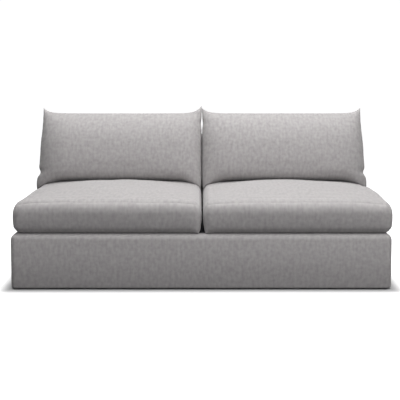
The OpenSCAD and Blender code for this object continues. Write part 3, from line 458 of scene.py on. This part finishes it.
def openSlot(points, node, tilt):
    # Sinks a cover's points behind the tape in the slot, and keeps the flat band round it over
    # the tape. The tilt is that of the tape from level, and the cover faces the rear
    z = zipSlot
    low, high = (np.array(corner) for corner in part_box(node))
    away = points - (low + high) / 2
    across = away @ np.array([0, math.cos(tilt), math.sin(tilt)])
    out = np.array([0, math.sin(tilt), -math.cos(tilt)])
    height, along = away @ out, np.abs(away[:, 0])
    near = (np.abs(height) < z["near"]) & (np.abs(across) < z["near"])
    below = np.maximum(np.abs(across) - z["bandHalf"], 0) + np.maximum(along - z["bandEnd"], 0)
    wanted = np.maximum(height, z["rim"] - z["fall"] * below)
    inside = (np.abs(across) < z["halfWidth"] + z["slack"]) & (along < z["halfLength"] + z["slack"])
    wanted = np.where(inside, z["floor"], wanted)
    return points + out * np.where(near, wanted - height, 0)[:, None]


swelling = {
    "frames": 20, "quality": 6, "mass": 0.3, "tension": 12, "shear": 5, "bending": 0.4,
    "shrink": -0.012, "aside": 0.004,
}


def simulate(piece, hold, pressure):
    # Where the piece's points end up as cloth under pressure with no gravity, `hold` being the
    # share by which each point is pinned
    group = piece.vertex_groups.new(name="held")
    for share in np.unique(np.round(hold, 1)):
        if share > 0:
            group.add(np.flatnonzero(np.round(hold, 1) == share).tolist(), float(share), "REPLACE")
    cloth = piece.modifiers.new("swell", "CLOTH")
    rules = cloth.settings
    rules.quality, rules.mass = swelling["quality"], swelling["mass"]
    rules.tension_stiffness = rules.compression_stiffness = swelling["tension"]
    rules.shear_stiffness, rules.bending_stiffness = swelling["shear"], swelling["bending"]
    rules.use_pressure, rules.uniform_pressure_force = True, pressure
    rules.vertex_group_mass, rules.shrink_min = "held", swelling["shrink"]
    rules.effector_weights.gravity = 0
    cloth.collision_settings.use_collision = False
    cloth.point_cache.frame_start, cloth.point_cache.frame_end = 1, swelling["frames"]
    scene = bpy.context.scene
    for number in range(1, swelling["frames"] + 1):
        scene.frame_set(number)
    solved = piece.evaluated_get(bpy.context.evaluated_depsgraph_get())
    moved = np.empty(len(hold) * 3, np.float32)
    solved.data.vertices.foreach_get("co", moved)
    piece.modifiers.remove(cloth)
    piece.vertex_groups.remove(group)
    scene.frame_set(1)
    return moved.reshape(-1, 3)


def inflate(piece, full, hold, extra, pressure):
    # The piece starts a little smaller than the full form. The result is the full form, fuller
    # by `extra` at most where the simulation went past it, and moved sideways by 4 mm at most,
    # both by a tanh that bends towards the limit.
    start = readPoints(piece)
    shift, goal = simulate(piece, hold, pressure) - start, full - start
    length = np.linalg.norm(goal, axis=1)
    way = goal / np.maximum(length, 1e-6)[:, None]
    along = np.sum(shift * way, axis=1)
    kept = length + extra * np.tanh(np.maximum(along - length, 0) / np.maximum(extra, 1e-6))
    across = shift - way * along[:, None]
    aside = np.linalg.norm(across, axis=1)[:, None] + 1e-9
    most = swelling["aside"]
    across *= np.tanh(aside / most) * most / aside * (length > 1e-5)[:, None]
    print(piece.name, "swelled, mm:", np.round(1000 * np.percentile(along - length, [5, 50, 95]), 1))
    return start + way * kept[:, None] + across


def settle(form, goal, side, centreX, clothShift):
    # Both forms at their place, mirrored for the right-hand cushion, which turns the quads round
    form["corners"] = form["corners"] + clothShift
    if side > 0:
        form["points"], goal = form["points"] * [-1, 1, 1], goal * [-1, 1, 1]
        form["quads"] = form["quads"][:, ::-1]
        form["corners"] = form["corners"].reshape(-1, 4, 2)[:, ::-1].reshape(-1, 2)
    form["points"] = form["points"] + [centreX, 0, 0]
    return goal + [centreX, 0, 0]


seatCushion = {
    "crown": 0.038, "crownPower": 3, "topRound": 0.050, "frontRound": 0.054, "bottomRound": 0.036,
    "innerRound": 0.012, "cornerRound": 0.042, "fullness": 2.6, "lowFullness": 2.0, "frontSoft": 0.62,
    "bulge": 0.007, "frontSwell": 0.0085, "swellPower": 2.6,
    "frontLift": 0.014, "liftDepth": 0.14, "liftFade": 0.11, "liftLevel": 0.45,
    "aside": 0.0055, "outerLift": {-1: 0.003, 1: 0.018}, "outerSwell": {-1: 0.002, 1: 0.005},
    "outerFrom": (0.35, 0.5), "outerRise": (0.05, 0.25), "outerEnd": (0.12, 0.20),  # Place, and over what
    "topFrom": (0.7, 0.3), "edgeFade": 0.05,
    "groove": 0.0015, "seamWidth": 0.12, "lowSeam": 0.4, "puckerSize": 0.03,
    "waves": (0.24, 0.0016), "smallWaves": (0.08, 0.0005), "frontWaves": (0.16, 0.001), "rise": 0.001,
    "startShare": 0.5, "pressure": 3.0, "holdLevel": 0.12, "seamHold": 0.6, "rearHold": 0.03,
    "extra": 0.001, "topExtra": 0.0018, "clothShift": 0.37, "zipTilt": math.pi / 2,
    "step": 0.013, "turns": (0.18, 0.38, 0.6, 0.8, 0.93, 1.0),
}


def seatMeasure():
    low, high = (np.array(corner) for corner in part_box("seat_cover_left"))
    bulge = seatCushion["bulge"]
    return {
        "centreX": (low[0] + high[0]) / 2, "halfX": (high[0] - low[0]) / 2 - bulge,
        "frontY": low[1] + bulge, "rearY": high[1], "bottomZ": low[2],
        "topZ": high[2] - seatCushion["crown"], "zipZ": sum(end[2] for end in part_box("seat_zip_left")) / 2,
    }


seat = seatMeasure()


def seatCrown(x, y):
    # The crown over a cushion, x from its middle: (1 - u^2)(1 - v^3) of its height
    u = np.clip(np.abs(x) / (seat["halfX"] - seatCushion["topRound"]), 0, 1)
    middle = (seat["frontY"] + seat["rearY"]) / 2
    half = (seat["rearY"] - seat["frontY"]) / 2 - seatCushion["topRound"]
    v = np.clip(np.abs(y - middle) / half, 0, 1)
    return (1 - u * u) * (1 - v ** seatCushion["crownPower"])


def seatTop(x, y):
    # Height of the seat's top: the plain top and its crown, less the fall of the rounded edges,
    # which is that of a quarter circle
    def fall(distance, radius):
        inside = np.clip(distance, 0, radius)
        return radius - np.sqrt(radius ** 2 - (radius - inside) ** 2)
    edge = np.maximum.reduce([
        fall(seat["halfX"] - np.abs(x), seatCushion["topRound"]),
        fall(y - seat["frontY"], seatCushion["frontRound"]),
        fall(seat["rearY"] - y, seatCushion["topRound"])])
    return seat["topZ"] + seatCushion["crown"] * seatCrown(x, y) - edge


def seatReach(slope, way):
    # Radius of the rounding: the plan corner's on the walls, the edge's own towards top and
    # bottom. The front's edge above and the inner side's edge below have their own radii
    s = seatCushion
    plan = np.maximum(np.hypot(way[0], way[1]), 1e-6)
    front, inner = np.clip(-way[1], 0, 1) / plan, np.clip(way[0], 0, 1) / plan
    upper = s["topRound"] + (s["frontRound"] - s["topRound"]) * front
    lower = s["bottomRound"] + (s["innerRound"] - s["bottomRound"]) * inner
    edge = np.where(slope[2] > 0, upper, lower)
    flat = s["cornerRound"] + (edge - s["cornerRound"]) * np.abs(slope[2])
    return np.stack([flat, flat, edge])


def seatPower(slope):
    # Full towards the top, but softer along the front seam, and plainly round towards the bottom
    s = seatCushion
    full = s["lowFullness"] + (s["fullness"] - s["lowFullness"]) * ease(1 + slope[2] / 0.6)
    return full - s["frontSoft"] * np.clip(-slope[1], 0, 1) * (1 - np.abs(slope[0])) * ease(slope[2])


def seatLevel(z):
    return np.clip((z - seat["bottomZ"]) / (seat["topZ"] - seat["bottomZ"]), 0, 1)


def seatForm(share):
    # The cover's form, with a share of its crown, of the lift along its front edge, of the bulge
    # of its walls, a sine of the level, and of the front's further swell, a sine of the level's power
    s = seatCushion
    limits = [(-seat["halfX"], seat["halfX"]), (seat["frontY"], seat["rearY"]),
              (seat["bottomZ"], seat["topZ"])]
    endX = seat["halfX"] - s["topRound"]
    axes = [
        axisPlaces(-endX, endX, s["step"], s["turns"], slotEnds()),
        axisPlaces(seat["frontY"] + s["frontRound"], seat["rearY"] - s["topRound"], s["step"], s["turns"]),
        axisPlaces(seat["bottomZ"] + s["bottomRound"], seat["topZ"] - s["frontRound"], s["step"], s["turns"],
                   seat["zipZ"] + slotRows()),
    ]
    form = roundedBox(axes, limits, seatReach, seatPower)
    x, y, z = form["points"].T
    level = seatLevel(z)
    z = z + share * s["crown"] * seatCrown(x, y) * (form["slope"][:, 2] > 0)
    front = ease((seat["frontY"] + s["liftDepth"] - y) / s["liftFade"])
    lift = front * ease((level - s["liftLevel"]) / s["liftLevel"]) * (1 - (x / seat["halfX"]) ** 6)
    z = z + share * s["frontLift"] * lift
    wall = share * s["bulge"] * np.sin(math.pi * level) * (1 - np.abs(form["slope"][:, 2]))
    way = form["slope"] / np.linalg.norm(form["slope"], axis=1)[:, None]
    x = x + way[:, 0] * wall
    swell = np.sin(math.pi * level ** s["swellPower"]) * (1 - (x / seat["halfX"]) ** 4)
    y = y + np.minimum(way[:, 1], 0) * (wall + share * s["frontSwell"] * swell)
    form["points"] = np.column_stack([x, y, z])
    return form


def makeSeat(side, name, node, body, seed):
    # The left form is mirrored for the right one, and each has its own small unevenness
    s, form = seatCushion, seatForm(seatCushion["startShare"])
    centreX = side * abs(seat["centreX"]) + s["aside"]
    goal = settle(form, seatForm(1.0)["points"], side, centreX, seed * s["clothShift"])
    piece = makePiece(name, form, body, "cushion_fabric")
    x, y, z = goal.T
    level, slope = seatLevel(z), form["slope"]
    plan = np.abs(slope[:, :2]).max(axis=1)
    seam = nearEdge(slope[:, 2], s["seamWidth"]) * nearEdge(plan, s["seamWidth"])
    seam = seam * np.where(slope[:, 2] > 0, 1.0, s["lowSeam"])
    rear = ease((y - seat["rearY"] + s["rearHold"]) / s["rearHold"])
    hold = np.clip(np.where(level < s["holdLevel"], 1.0, 0) + s["seamHold"] * seam + rear, 0, 1)
    extra = s["extra"] + s["topExtra"] * ease((level - 0.8) / 0.2) * (1 - rear)
    x, y, z = inflate(piece, goal, hold, extra, s["pressure"]).T

    # Unevenness, the lift and the swell towards the sofa's outer side, then the seams' grooves
    size, rise = s["waves"]
    smallSize, smallRise = s["smallWaves"]
    uneven = ripple(x, y, size, seed) * rise + ripple(x, y, smallSize, seed + 5) * smallRise
    outward = side * (x - centreX) / seat["halfX"]
    (fromX, overX), (fromY, overY), (endY, fadeY) = s["outerFrom"], s["outerRise"], s["outerEnd"]
    lengthwise = ease((y - seat["frontY"] - fromY) / overY) * ease((endY - y) / fadeY)
    lift = s["outerLift"][side] * ease((outward - fromX) / overX) * lengthwise
    z = z + (uneven + s["rise"] + lift) * ease((level - s["topFrom"][0]) / s["topFrom"][1])
    x = x + side * s["outerSwell"][side] * ease(outward)
    size, rise = s["frontWaves"]
    facing = 1 - ease((y - seat["frontY"]) / s["edgeFade"])
    y = y + ripple(x, z, size, seed + 9) * rise * facing * level
    points = np.column_stack([x, y, z])
    writePoints(piece, points)
    pucker = 1 + 0.5 * ripple(x + z, y, s["puckerSize"], seed + 3)
    points = points - readPoints(piece, "normal") * (s["groove"] * pucker * seam)[:, None]
    writePoints(piece, openSlot(points, node.replace("cover", "zip"), s["zipTilt"]))
    refine(piece)
    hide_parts(node)
    print(name, "made")


makeSeat(-1, "seatCushionLeft", "seat_cover_left", "seat_cushion_left", 3)
makeSeat(1, "seatCushionRight", "seat_cover_right", "seat_cushion_right", 8)


baseUpholstery = {
    "tuck": 0.006, "round": 0.029, "foot": 0.003, "lip": 0.060, "lipDrop": 0.0015, "deckDrop": 0.0040,
    "hem": 0.026, "hemDrop": 0.005, "hemRise": 0.0095, "frontSwell": 0.0095, "frontFade": 0.02,
    "uneven": 0.0011, "waveSize": 0.30, "sideX": 0.93, "sideFade": 0.02, "groove": 0.0009, "seamWidth": 0.15,
    "step": 0.028, "turns": (0.3, 0.62, 0.86, 1.0), "rimWidth": 0.001, "evenFoot": 0.25,
}

backUpholstery = {
    "round": 0.026, "frontRound": 0.006, "foot": 0.003, "footDepth": 0.200, "topDepth": 0.140,
    "deckZ": 0.278, "hem": 0.027, "hemDrop": 0.005, "hemRise": 0.0095, "rearFade": 0.01,
    "uneven": 0.0012, "waveSize": 0.30, "rearWaveSize": 0.34, "sideX": 0.93, "sideFade": 0.02,
    "groove": 0.0012, "seamWidth": 0.15,
    "step": 0.028, "turns": (0.3, 0.62, 0.86, 1.0), "rimWidth": 0.001,
}


def stepInside(x, y, box, rise, width):
    # `rise` inside a rectangle, falling to nothing over `width` at its rim
    inside = np.minimum.reduce([x - box[0], box[1] - x, y - box[2], box[3] - y])
    return rise * np.clip(inside / width, 0, 1)


def unevenSides(x, y, z, settings, seed):
    # x, with a ripple on the outer sides
    outer = ease((np.abs(x) - settings["sideX"]) / settings["sideFade"])
    return x + np.sign(x) * ripple(y, z, settings["waveSize"], seed) * settings["uneven"] * outer


def upholster(name, node, form, x, y, z):
    form["points"] = np.column_stack([x, y, z])
    piece = makePiece(name, form, "frame", "frame_fabric")
    refine(piece)
    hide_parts(node)
    print(name, "made")


def makeBase():
    # A rounded box that sinks inside the lip round its deck and rises inside the hem below. Its
    # front swells by 4t(1 - t) of the level and has a ripple, and its corners have grooved seams
    b = baseUpholstery
    low, high = (np.array(corner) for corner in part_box("base_cover"))
    low[2], high[2] = low[2] - b["hemDrop"], high[2] - b["lipDrop"]
    high[1] += b["tuck"]
    r, f, w, lip, hem = (b[name] for name in ("round", "foot", "rimWidth", "lip", "hem"))
    rear = high[1] - b["tuck"] - lip
    rimX = [high[0] - lip - w, high[0] - lip]
    rimY = [low[1] + lip, low[1] + lip + w, rear - w, rear]
    axes = [
        axisPlaces(low[0] + r, high[0] - r, b["step"], b["turns"], [-x for x in rimX[::-1]] + rimX),
        axisPlaces(low[1] + r, high[1] - f, b["step"], b["turns"], rimY),
        axisPlaces(low[2] + f, high[2] - r, b["step"], b["turns"]),
    ]

    def reaches(slope, way):
        # The plain radius, but a tight turn at the foot and where the back stands against the base
        return np.stack([np.full(slope.shape[1], r), np.where(slope[1] > 0, f, r),
                         np.where(slope[2] < 0, f, r)])

    form = roundedBox(axes, list(zip(low, high)), reaches)
    x, y, z = form["points"].T
    slope = form["slope"].T
    deck = stepInside(x, y, (low[0] + lip, high[0] - lip, low[1] + lip, rear), b["deckDrop"], w)
    inner = stepInside(x, y, (low[0] + hem, high[0] - hem, low[1] + hem, high[1] + 1), b["hemRise"], w)
    z = z - np.where(slope[2] > 0.5, deck, 0)
    z = z + np.where(slope[2] < -0.5, inner, 0)
    facing = 1 - ease((y - low[1]) / b["frontFade"])
    level = np.clip((z - low[2]) / (high[2] - r - low[2]), 0, 1)
    uneven = ripple(x, z, b["waveSize"], 51) * b["uneven"] * ease(level / b["evenFoot"])
    y = y + facing * (uneven - b["frontSwell"] * 4 * level * (1 - level))
    x = unevenSides(x, y, z, b, 52)
    seam = nearEdge(slope[0], b["seamWidth"]) * nearEdge(slope[1], b["seamWidth"]) * (y < 0)
    upholster("baseUpholstery", "base_cover", form,
              x - np.sign(x) * b["groove"] * seam, y + b["groove"] * seam, z)


def makeBack():
    # A rounded box whose depth narrows evenly above the deck, measured from its upright rear face,
    # with a ripple on its rear and sides and a grooved seam round its rear
    b = backUpholstery
    low, high = (np.array(corner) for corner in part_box("back_cover"))
    low[2] -= b["hemDrop"]
    r, f, hem = b["round"], b["foot"], b["hem"]
    axes = [
        axisPlaces(low[0] + r, high[0] - r, b["step"], b["turns"]),
        axisPlaces(low[1] + r, high[1] - r, b["step"], b["turns"]),
        axisPlaces(low[2] + f, high[2] - r, b["step"], b["turns"], [b["deckZ"]]),
    ]

    def reaches(slope, way):
        # The plain radius, but a tight turn at the foot and up the sides of the front
        level = np.where(slope[1] < 0, b["frontRound"] + (r - b["frontRound"]) * np.abs(slope[2]), r)
        return np.stack([level, level, np.where(slope[2] < 0, f, r)])

    form = roundedBox(axes, list(zip(low, high)), reaches)
    x, y, z = form["points"].T
    slope = form["slope"].T
    inner = stepInside(x, y, (low[0] + hem, high[0] - hem, low[1] - 1, high[1] - hem), b["hemRise"],
                       b["rimWidth"])
    z = z + np.where(slope[2] < -0.5, inner, 0)
    depth = b["footDepth"] + (b["topDepth"] - b["footDepth"]) * (z - b["deckZ"]) / (high[2] - b["deckZ"])
    y = high[1] - (high[1] - y) * np.minimum(depth, b["footDepth"]) / b["footDepth"]
    behind = ease((y - high[1] + b["rearFade"]) / b["rearFade"])
    y = y + (ripple(x, z, b["rearWaveSize"], 61) - 1) * b["uneven"] * behind
    x = unevenSides(x, y, z, b, 62)
    border = nearEdge(np.maximum(np.abs(slope[0]), slope[2]), b["seamWidth"])
    seam = nearEdge(slope[1], b["seamWidth"]) * border * (slope[1] > 0)
    upholster("backUpholstery", "back_cover", form, x, y - b["groove"] * seam, z)


backCushion = {
    "halfX": 0.470, "centreX": 0.475, "aside": 0.004, "lean": 0.110, "seamRise": 0.369,
    "footTuck": 0.008, "crownGap": 0.0016,
    "front": {"depth": 0.121, "low": 2.0, "high": 1.86, "lowSwell": 0.27},
    "rear": {"depth": -0.106, "low": 4.0, "high": 2.3, "lowSwell": 0.5},
    "plateau": 0.62, "pinch": 0.0015,
    "ear": 0.036, "innerEar": {-1: 0.050, 1: 0.035}, "earReach": 0.030, "droop": 0.053, "droopReach": 0.068,
    "flareTop": 0.004, "flareSide": 0.014, "flareSpan": 1.1, "drawIn": 0.006,
    "flareFoot": {-1: 0.010, 1: 0.006}, "flareFrom": (0.68, 0.25),
    "meet": 0.0040, "part": 0.0042, "partPlace": 0.67, "partReach": 0.10,
    "close": 0.0009, "closeFrom": (0.86, 0.08),
    "fold": 0.0145, "foldHeight": 0.054, "foldReach": 0.013, "tip": 0.007,
    "puckerSize": 0.034, "puckerDepth": 0.0016, "puckerFrom": 0.006, "puckerReach": 0.03,
    "cornerRoom": 0.03, "seatGap": 0.0012, "backGap": 0.0006,
    "startShare": 0.86, "pressure": 3.0, "extra": 0.003, "rearExtra": 0.002, "clothShift": 0.41,
    "holdFrom": (0.55, 0.3),
    "zipPlace": 0.8, "zipTilt": 0.70, "rearSlope": 0.247,
    "rims": (0.002, 0.006, 0.012, 0.020), "step": 0.0105,
}


def backCushionEnds():
    # The bottom seam stands on the seat, and the top one lies behind it over the back
    c = backCushion
    footY = seat["rearY"] + c["footTuck"] - c["lean"]
    footZ = float(seatTop(np.zeros(1), np.full(1, footY))[0]) + c["crownGap"]
    headZ = seat["topZ"] + seatCushion["crown"] + c["seamRise"]
    return np.array([footY, footZ]), np.array([footY + c["lean"], headZ])


def backCushionOutline(u, v, hand, halfZ):
    # Where a point of the square -1 to 1 lies on the cushion's plane. Ears stand up above and
    # corners droop below, by an exponential of the distance from the side. The outer side (u < 0)
    # flares towards the foot and has a fold near it, the inner side swells to meet the other
    # cushion but for a slit near the top, and the lower corners are blunt
    c = backCushion
    inward = c["halfX"] * (1 - np.abs(u))
    horn = np.exp(-np.where(v > 0, inward / c["earReach"], (inward / c["droopReach"]) ** 2))
    ear = np.where(u > 0, c["innerEar"][hand], c["ear"])
    b = v * halfZ + np.where(v > 0, ear, -c["droop"]) * horn * np.abs(v) ** 6
    fold = c["fold"] * np.exp(-((halfZ * (1 + v) - c["foldHeight"]) / c["foldReach"]) ** 2)
    flare = c["flareTop"] + c["flareSide"] * ease((1 - v) / c["flareSpan"])
    flare = flare + c["flareFoot"][hand] * ease((-c["flareFrom"][0] - v) / c["flareFrom"][1])
    slit = c["part"] * np.exp(-((v - c["partPlace"]) / c["partReach"]) ** 2)
    close = c["meet"] + c["close"] * ease((v - c["closeFrom"][0]) / c["closeFrom"][1])
    draw = np.where(u > 0, slit - close, c["drawIn"] * (1 - v * v) - flare)
    a = u * (c["halfX"] - draw * np.abs(u) ** 4 - fold * np.clip(-u, 0, 1) ** 10)
    tip = c["tip"] * np.abs(u) ** 16 * np.clip(-v, 0, 1) ** 16
    return a - np.sign(u) * tip, b


def backCushionPanel(side, hand, share):
    # One face: points on a plane that leans back from foot to head, raised by the swell. That is
    # the square root of 1 - e^2 across, e growing outside a plateau, times a power of
    # 1 - |v|^p upwards, pinched to nothing at the seam
    c = backCushion
    face = c["front"] if side > 0 else c["rear"]
    foot, head = backCushionEnds()
    halfZ = np.linalg.norm(head - foot) / 2
    up = (head - foot) / (2 * halfZ)
    zipRows = (slotRows() / c["rearSlope"] - c["zipPlace"]) * halfZ
    u, v = np.meshgrid(places(-c["halfX"], c["halfX"], c["step"], c["rims"], slotEnds()) / c["halfX"],
                       places(-halfZ, halfZ, c["step"], c["rims"], zipRows) / halfZ)
    rows, columns = u.shape
    u, v = u.ravel(), v.ravel()
    a, b = backCushionOutline(u, v, hand, halfZ)
    rim = np.minimum(c["halfX"] * (1 - np.abs(u)), halfZ * (1 - np.abs(v)))
    e = np.clip(np.abs(u) - c["plateau"], 0, 1) / (1 - c["plateau"])
    height = np.clip(1 - np.abs(v) ** np.where(v > 0, face["high"], face["low"]), 0, 1)
    swell = np.sqrt(1 - e * e) * height ** np.where(v > 0, 0.5, face["lowSwell"])
    depth = swell * (1 - np.exp(-rim / c["pinch"])) * (face["depth"] * share)
    y = foot[0] + (b + halfZ) * up[0] - depth * up[1]
    z = foot[1] + (b + halfZ) * up[1] + depth * up[0]
    quads = gridQuads(rows, columns)
    return {
        "points": np.column_stack([a, y, z]), "u": u, "v": v, "rim": rim, "side": np.full(len(u), side),
        "cloth": np.column_stack([a, b]), "quads": quads if side > 0 else quads[:, ::-1],
        "key": np.column_stack([u, v, np.where(rim < 1e-6, 0, side)]),
    }


def backCushionForm(hand, share):
    return weld([backCushionPanel(1, hand, share), backCushionPanel(-1, hand, 1.0)])


def clearOfSofa(points, corner, centreX):
    # Raises points off the seat's top, whose rounded edge only the drooping corners follow,
    # and keeps them in front of the sloping back
    b, c = backUpholstery, backCushion
    x, y, z = points.T
    room = c["cornerRoom"] * (1 - corner)
    z = np.maximum(z, seatTop(np.maximum(np.abs(x - centreX) - room, 0), y) + c["seatGap"])
    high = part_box("back_cover")[1]
    slope = (b["footDepth"] - b["topDepth"]) / (high[2] - b["deckZ"])
    y = np.minimum(y, high[1] - b["footDepth"] + (z - b["deckZ"]) * slope - c["backGap"])
    return np.column_stack([x, y, z])


def makeBackCushion(side, name, node, body, seed):
    # The seam and the rear's lower part are held while it swells. Puckers come after that, a
    # ripple beside the seam on the front, and the cushion is kept clear of seat and back
    c, form = backCushion, backCushionForm(side, backCushion["startShare"])
    centreX = side * c["centreX"] + c["aside"]
    goal = settle(form, backCushionForm(side, 1.0)["points"], side, centreX, seed * c["clothShift"])
    u, v, rim = form["u"], form["v"], form["rim"]
    front, rear = form["side"] > 0, form["side"] < 0
    piece = makePiece(name, form, body, "cushion_fabric")
    hold = np.where(rim < 1e-6, 1.0, 0) + np.where(front, 0, ease((c["holdFrom"][0] - v) / c["holdFrom"][1]))
    extra = np.where(front, c["extra"], c["rearExtra"])
    points = inflate(piece, goal, np.clip(hold, 0, 1), extra, c["pressure"])
    writePoints(piece, points)
    around = np.where(np.abs(u) * c["halfX"] > np.abs(v) * 0.2, points[:, 2], points[:, 0])
    beside = np.exp(-rim / c["puckerReach"]) * (1 - np.exp(-rim / c["puckerFrom"]))
    pucker = (1 + ripple(around, points[:, 0] * 0.3, c["puckerSize"], seed)) * c["puckerDepth"] * beside
    points = points + readPoints(piece, "normal") * (pucker * front)[:, None]
    points = clearOfSofa(points, np.abs(u) ** 3 * np.abs(v) ** 6, centreX)
    points[rear] = openSlot(points[rear], node.replace("cushion_cover", "zip"), c["zipTilt"])
    writePoints(piece, points)
    refine(piece)
    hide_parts(node)
    print(name, "made")


makeBackCushion(-1, "backCushionLeft", "back_cushion_cover_left", "back_cushion_left", 21)
makeBackCushion(1, "backCushionRight", "back_cushion_cover_right", "back_cushion_right", 34)
makeBase()
makeBack()


sheets = {
    "deckCloth": {"node": "deck_cloth", "slot": "deck_cloth", "sag": 0.0012, "rests": ["deck_pad"]},
    "dustCover": {"node": "dust_cover", "slot": "dust_cloth", "sag": 0.0010,
                  "rests": ["front_rail", "rear_rail"]},
}


def makeSheet(name, sheet, step=0.02, thickness=0.0008, waves=(0.2, 0.0003)):
    # A stretched sheet that sags a little in its middle, by the product of two sines, with a
    # faint ripple that fades out at its rim
    low, high = (np.array(corner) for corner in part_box(sheet["node"]))
    x, y = np.meshgrid(places(low[0], high[0], step), places(low[1], high[1], step))
    quads = gridQuads(*x.shape)
    x, y = x.ravel(), y.ravel()
    u, v = (x - low[0]) / (high[0] - low[0]), (y - low[1]) / (high[1] - low[1])
    z = (low[2] + high[2]) / 2 - sheet["sag"] * np.sin(math.pi * u) * np.sin(math.pi * v)
    z = z + ripple(x, y, waves[0], 71) * waves[1] * np.minimum(1, 30 * u * (1 - u) * v * (1 - v))
    form = {"points": np.column_stack([x, y, z]), "quads": quads,
            "corners": np.column_stack([x, y])[quads.ravel()]}
    piece = makePiece(name, form, "frame", sheet["slot"])
    thick = piece.modifiers.new("thick", "SOLIDIFY")
    thick.thickness, thick.offset = thickness, 0
    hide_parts(sheet["node"])
    print(name, "made")


for name, sheet in sheets.items():
    makeSheet(name, sheet)
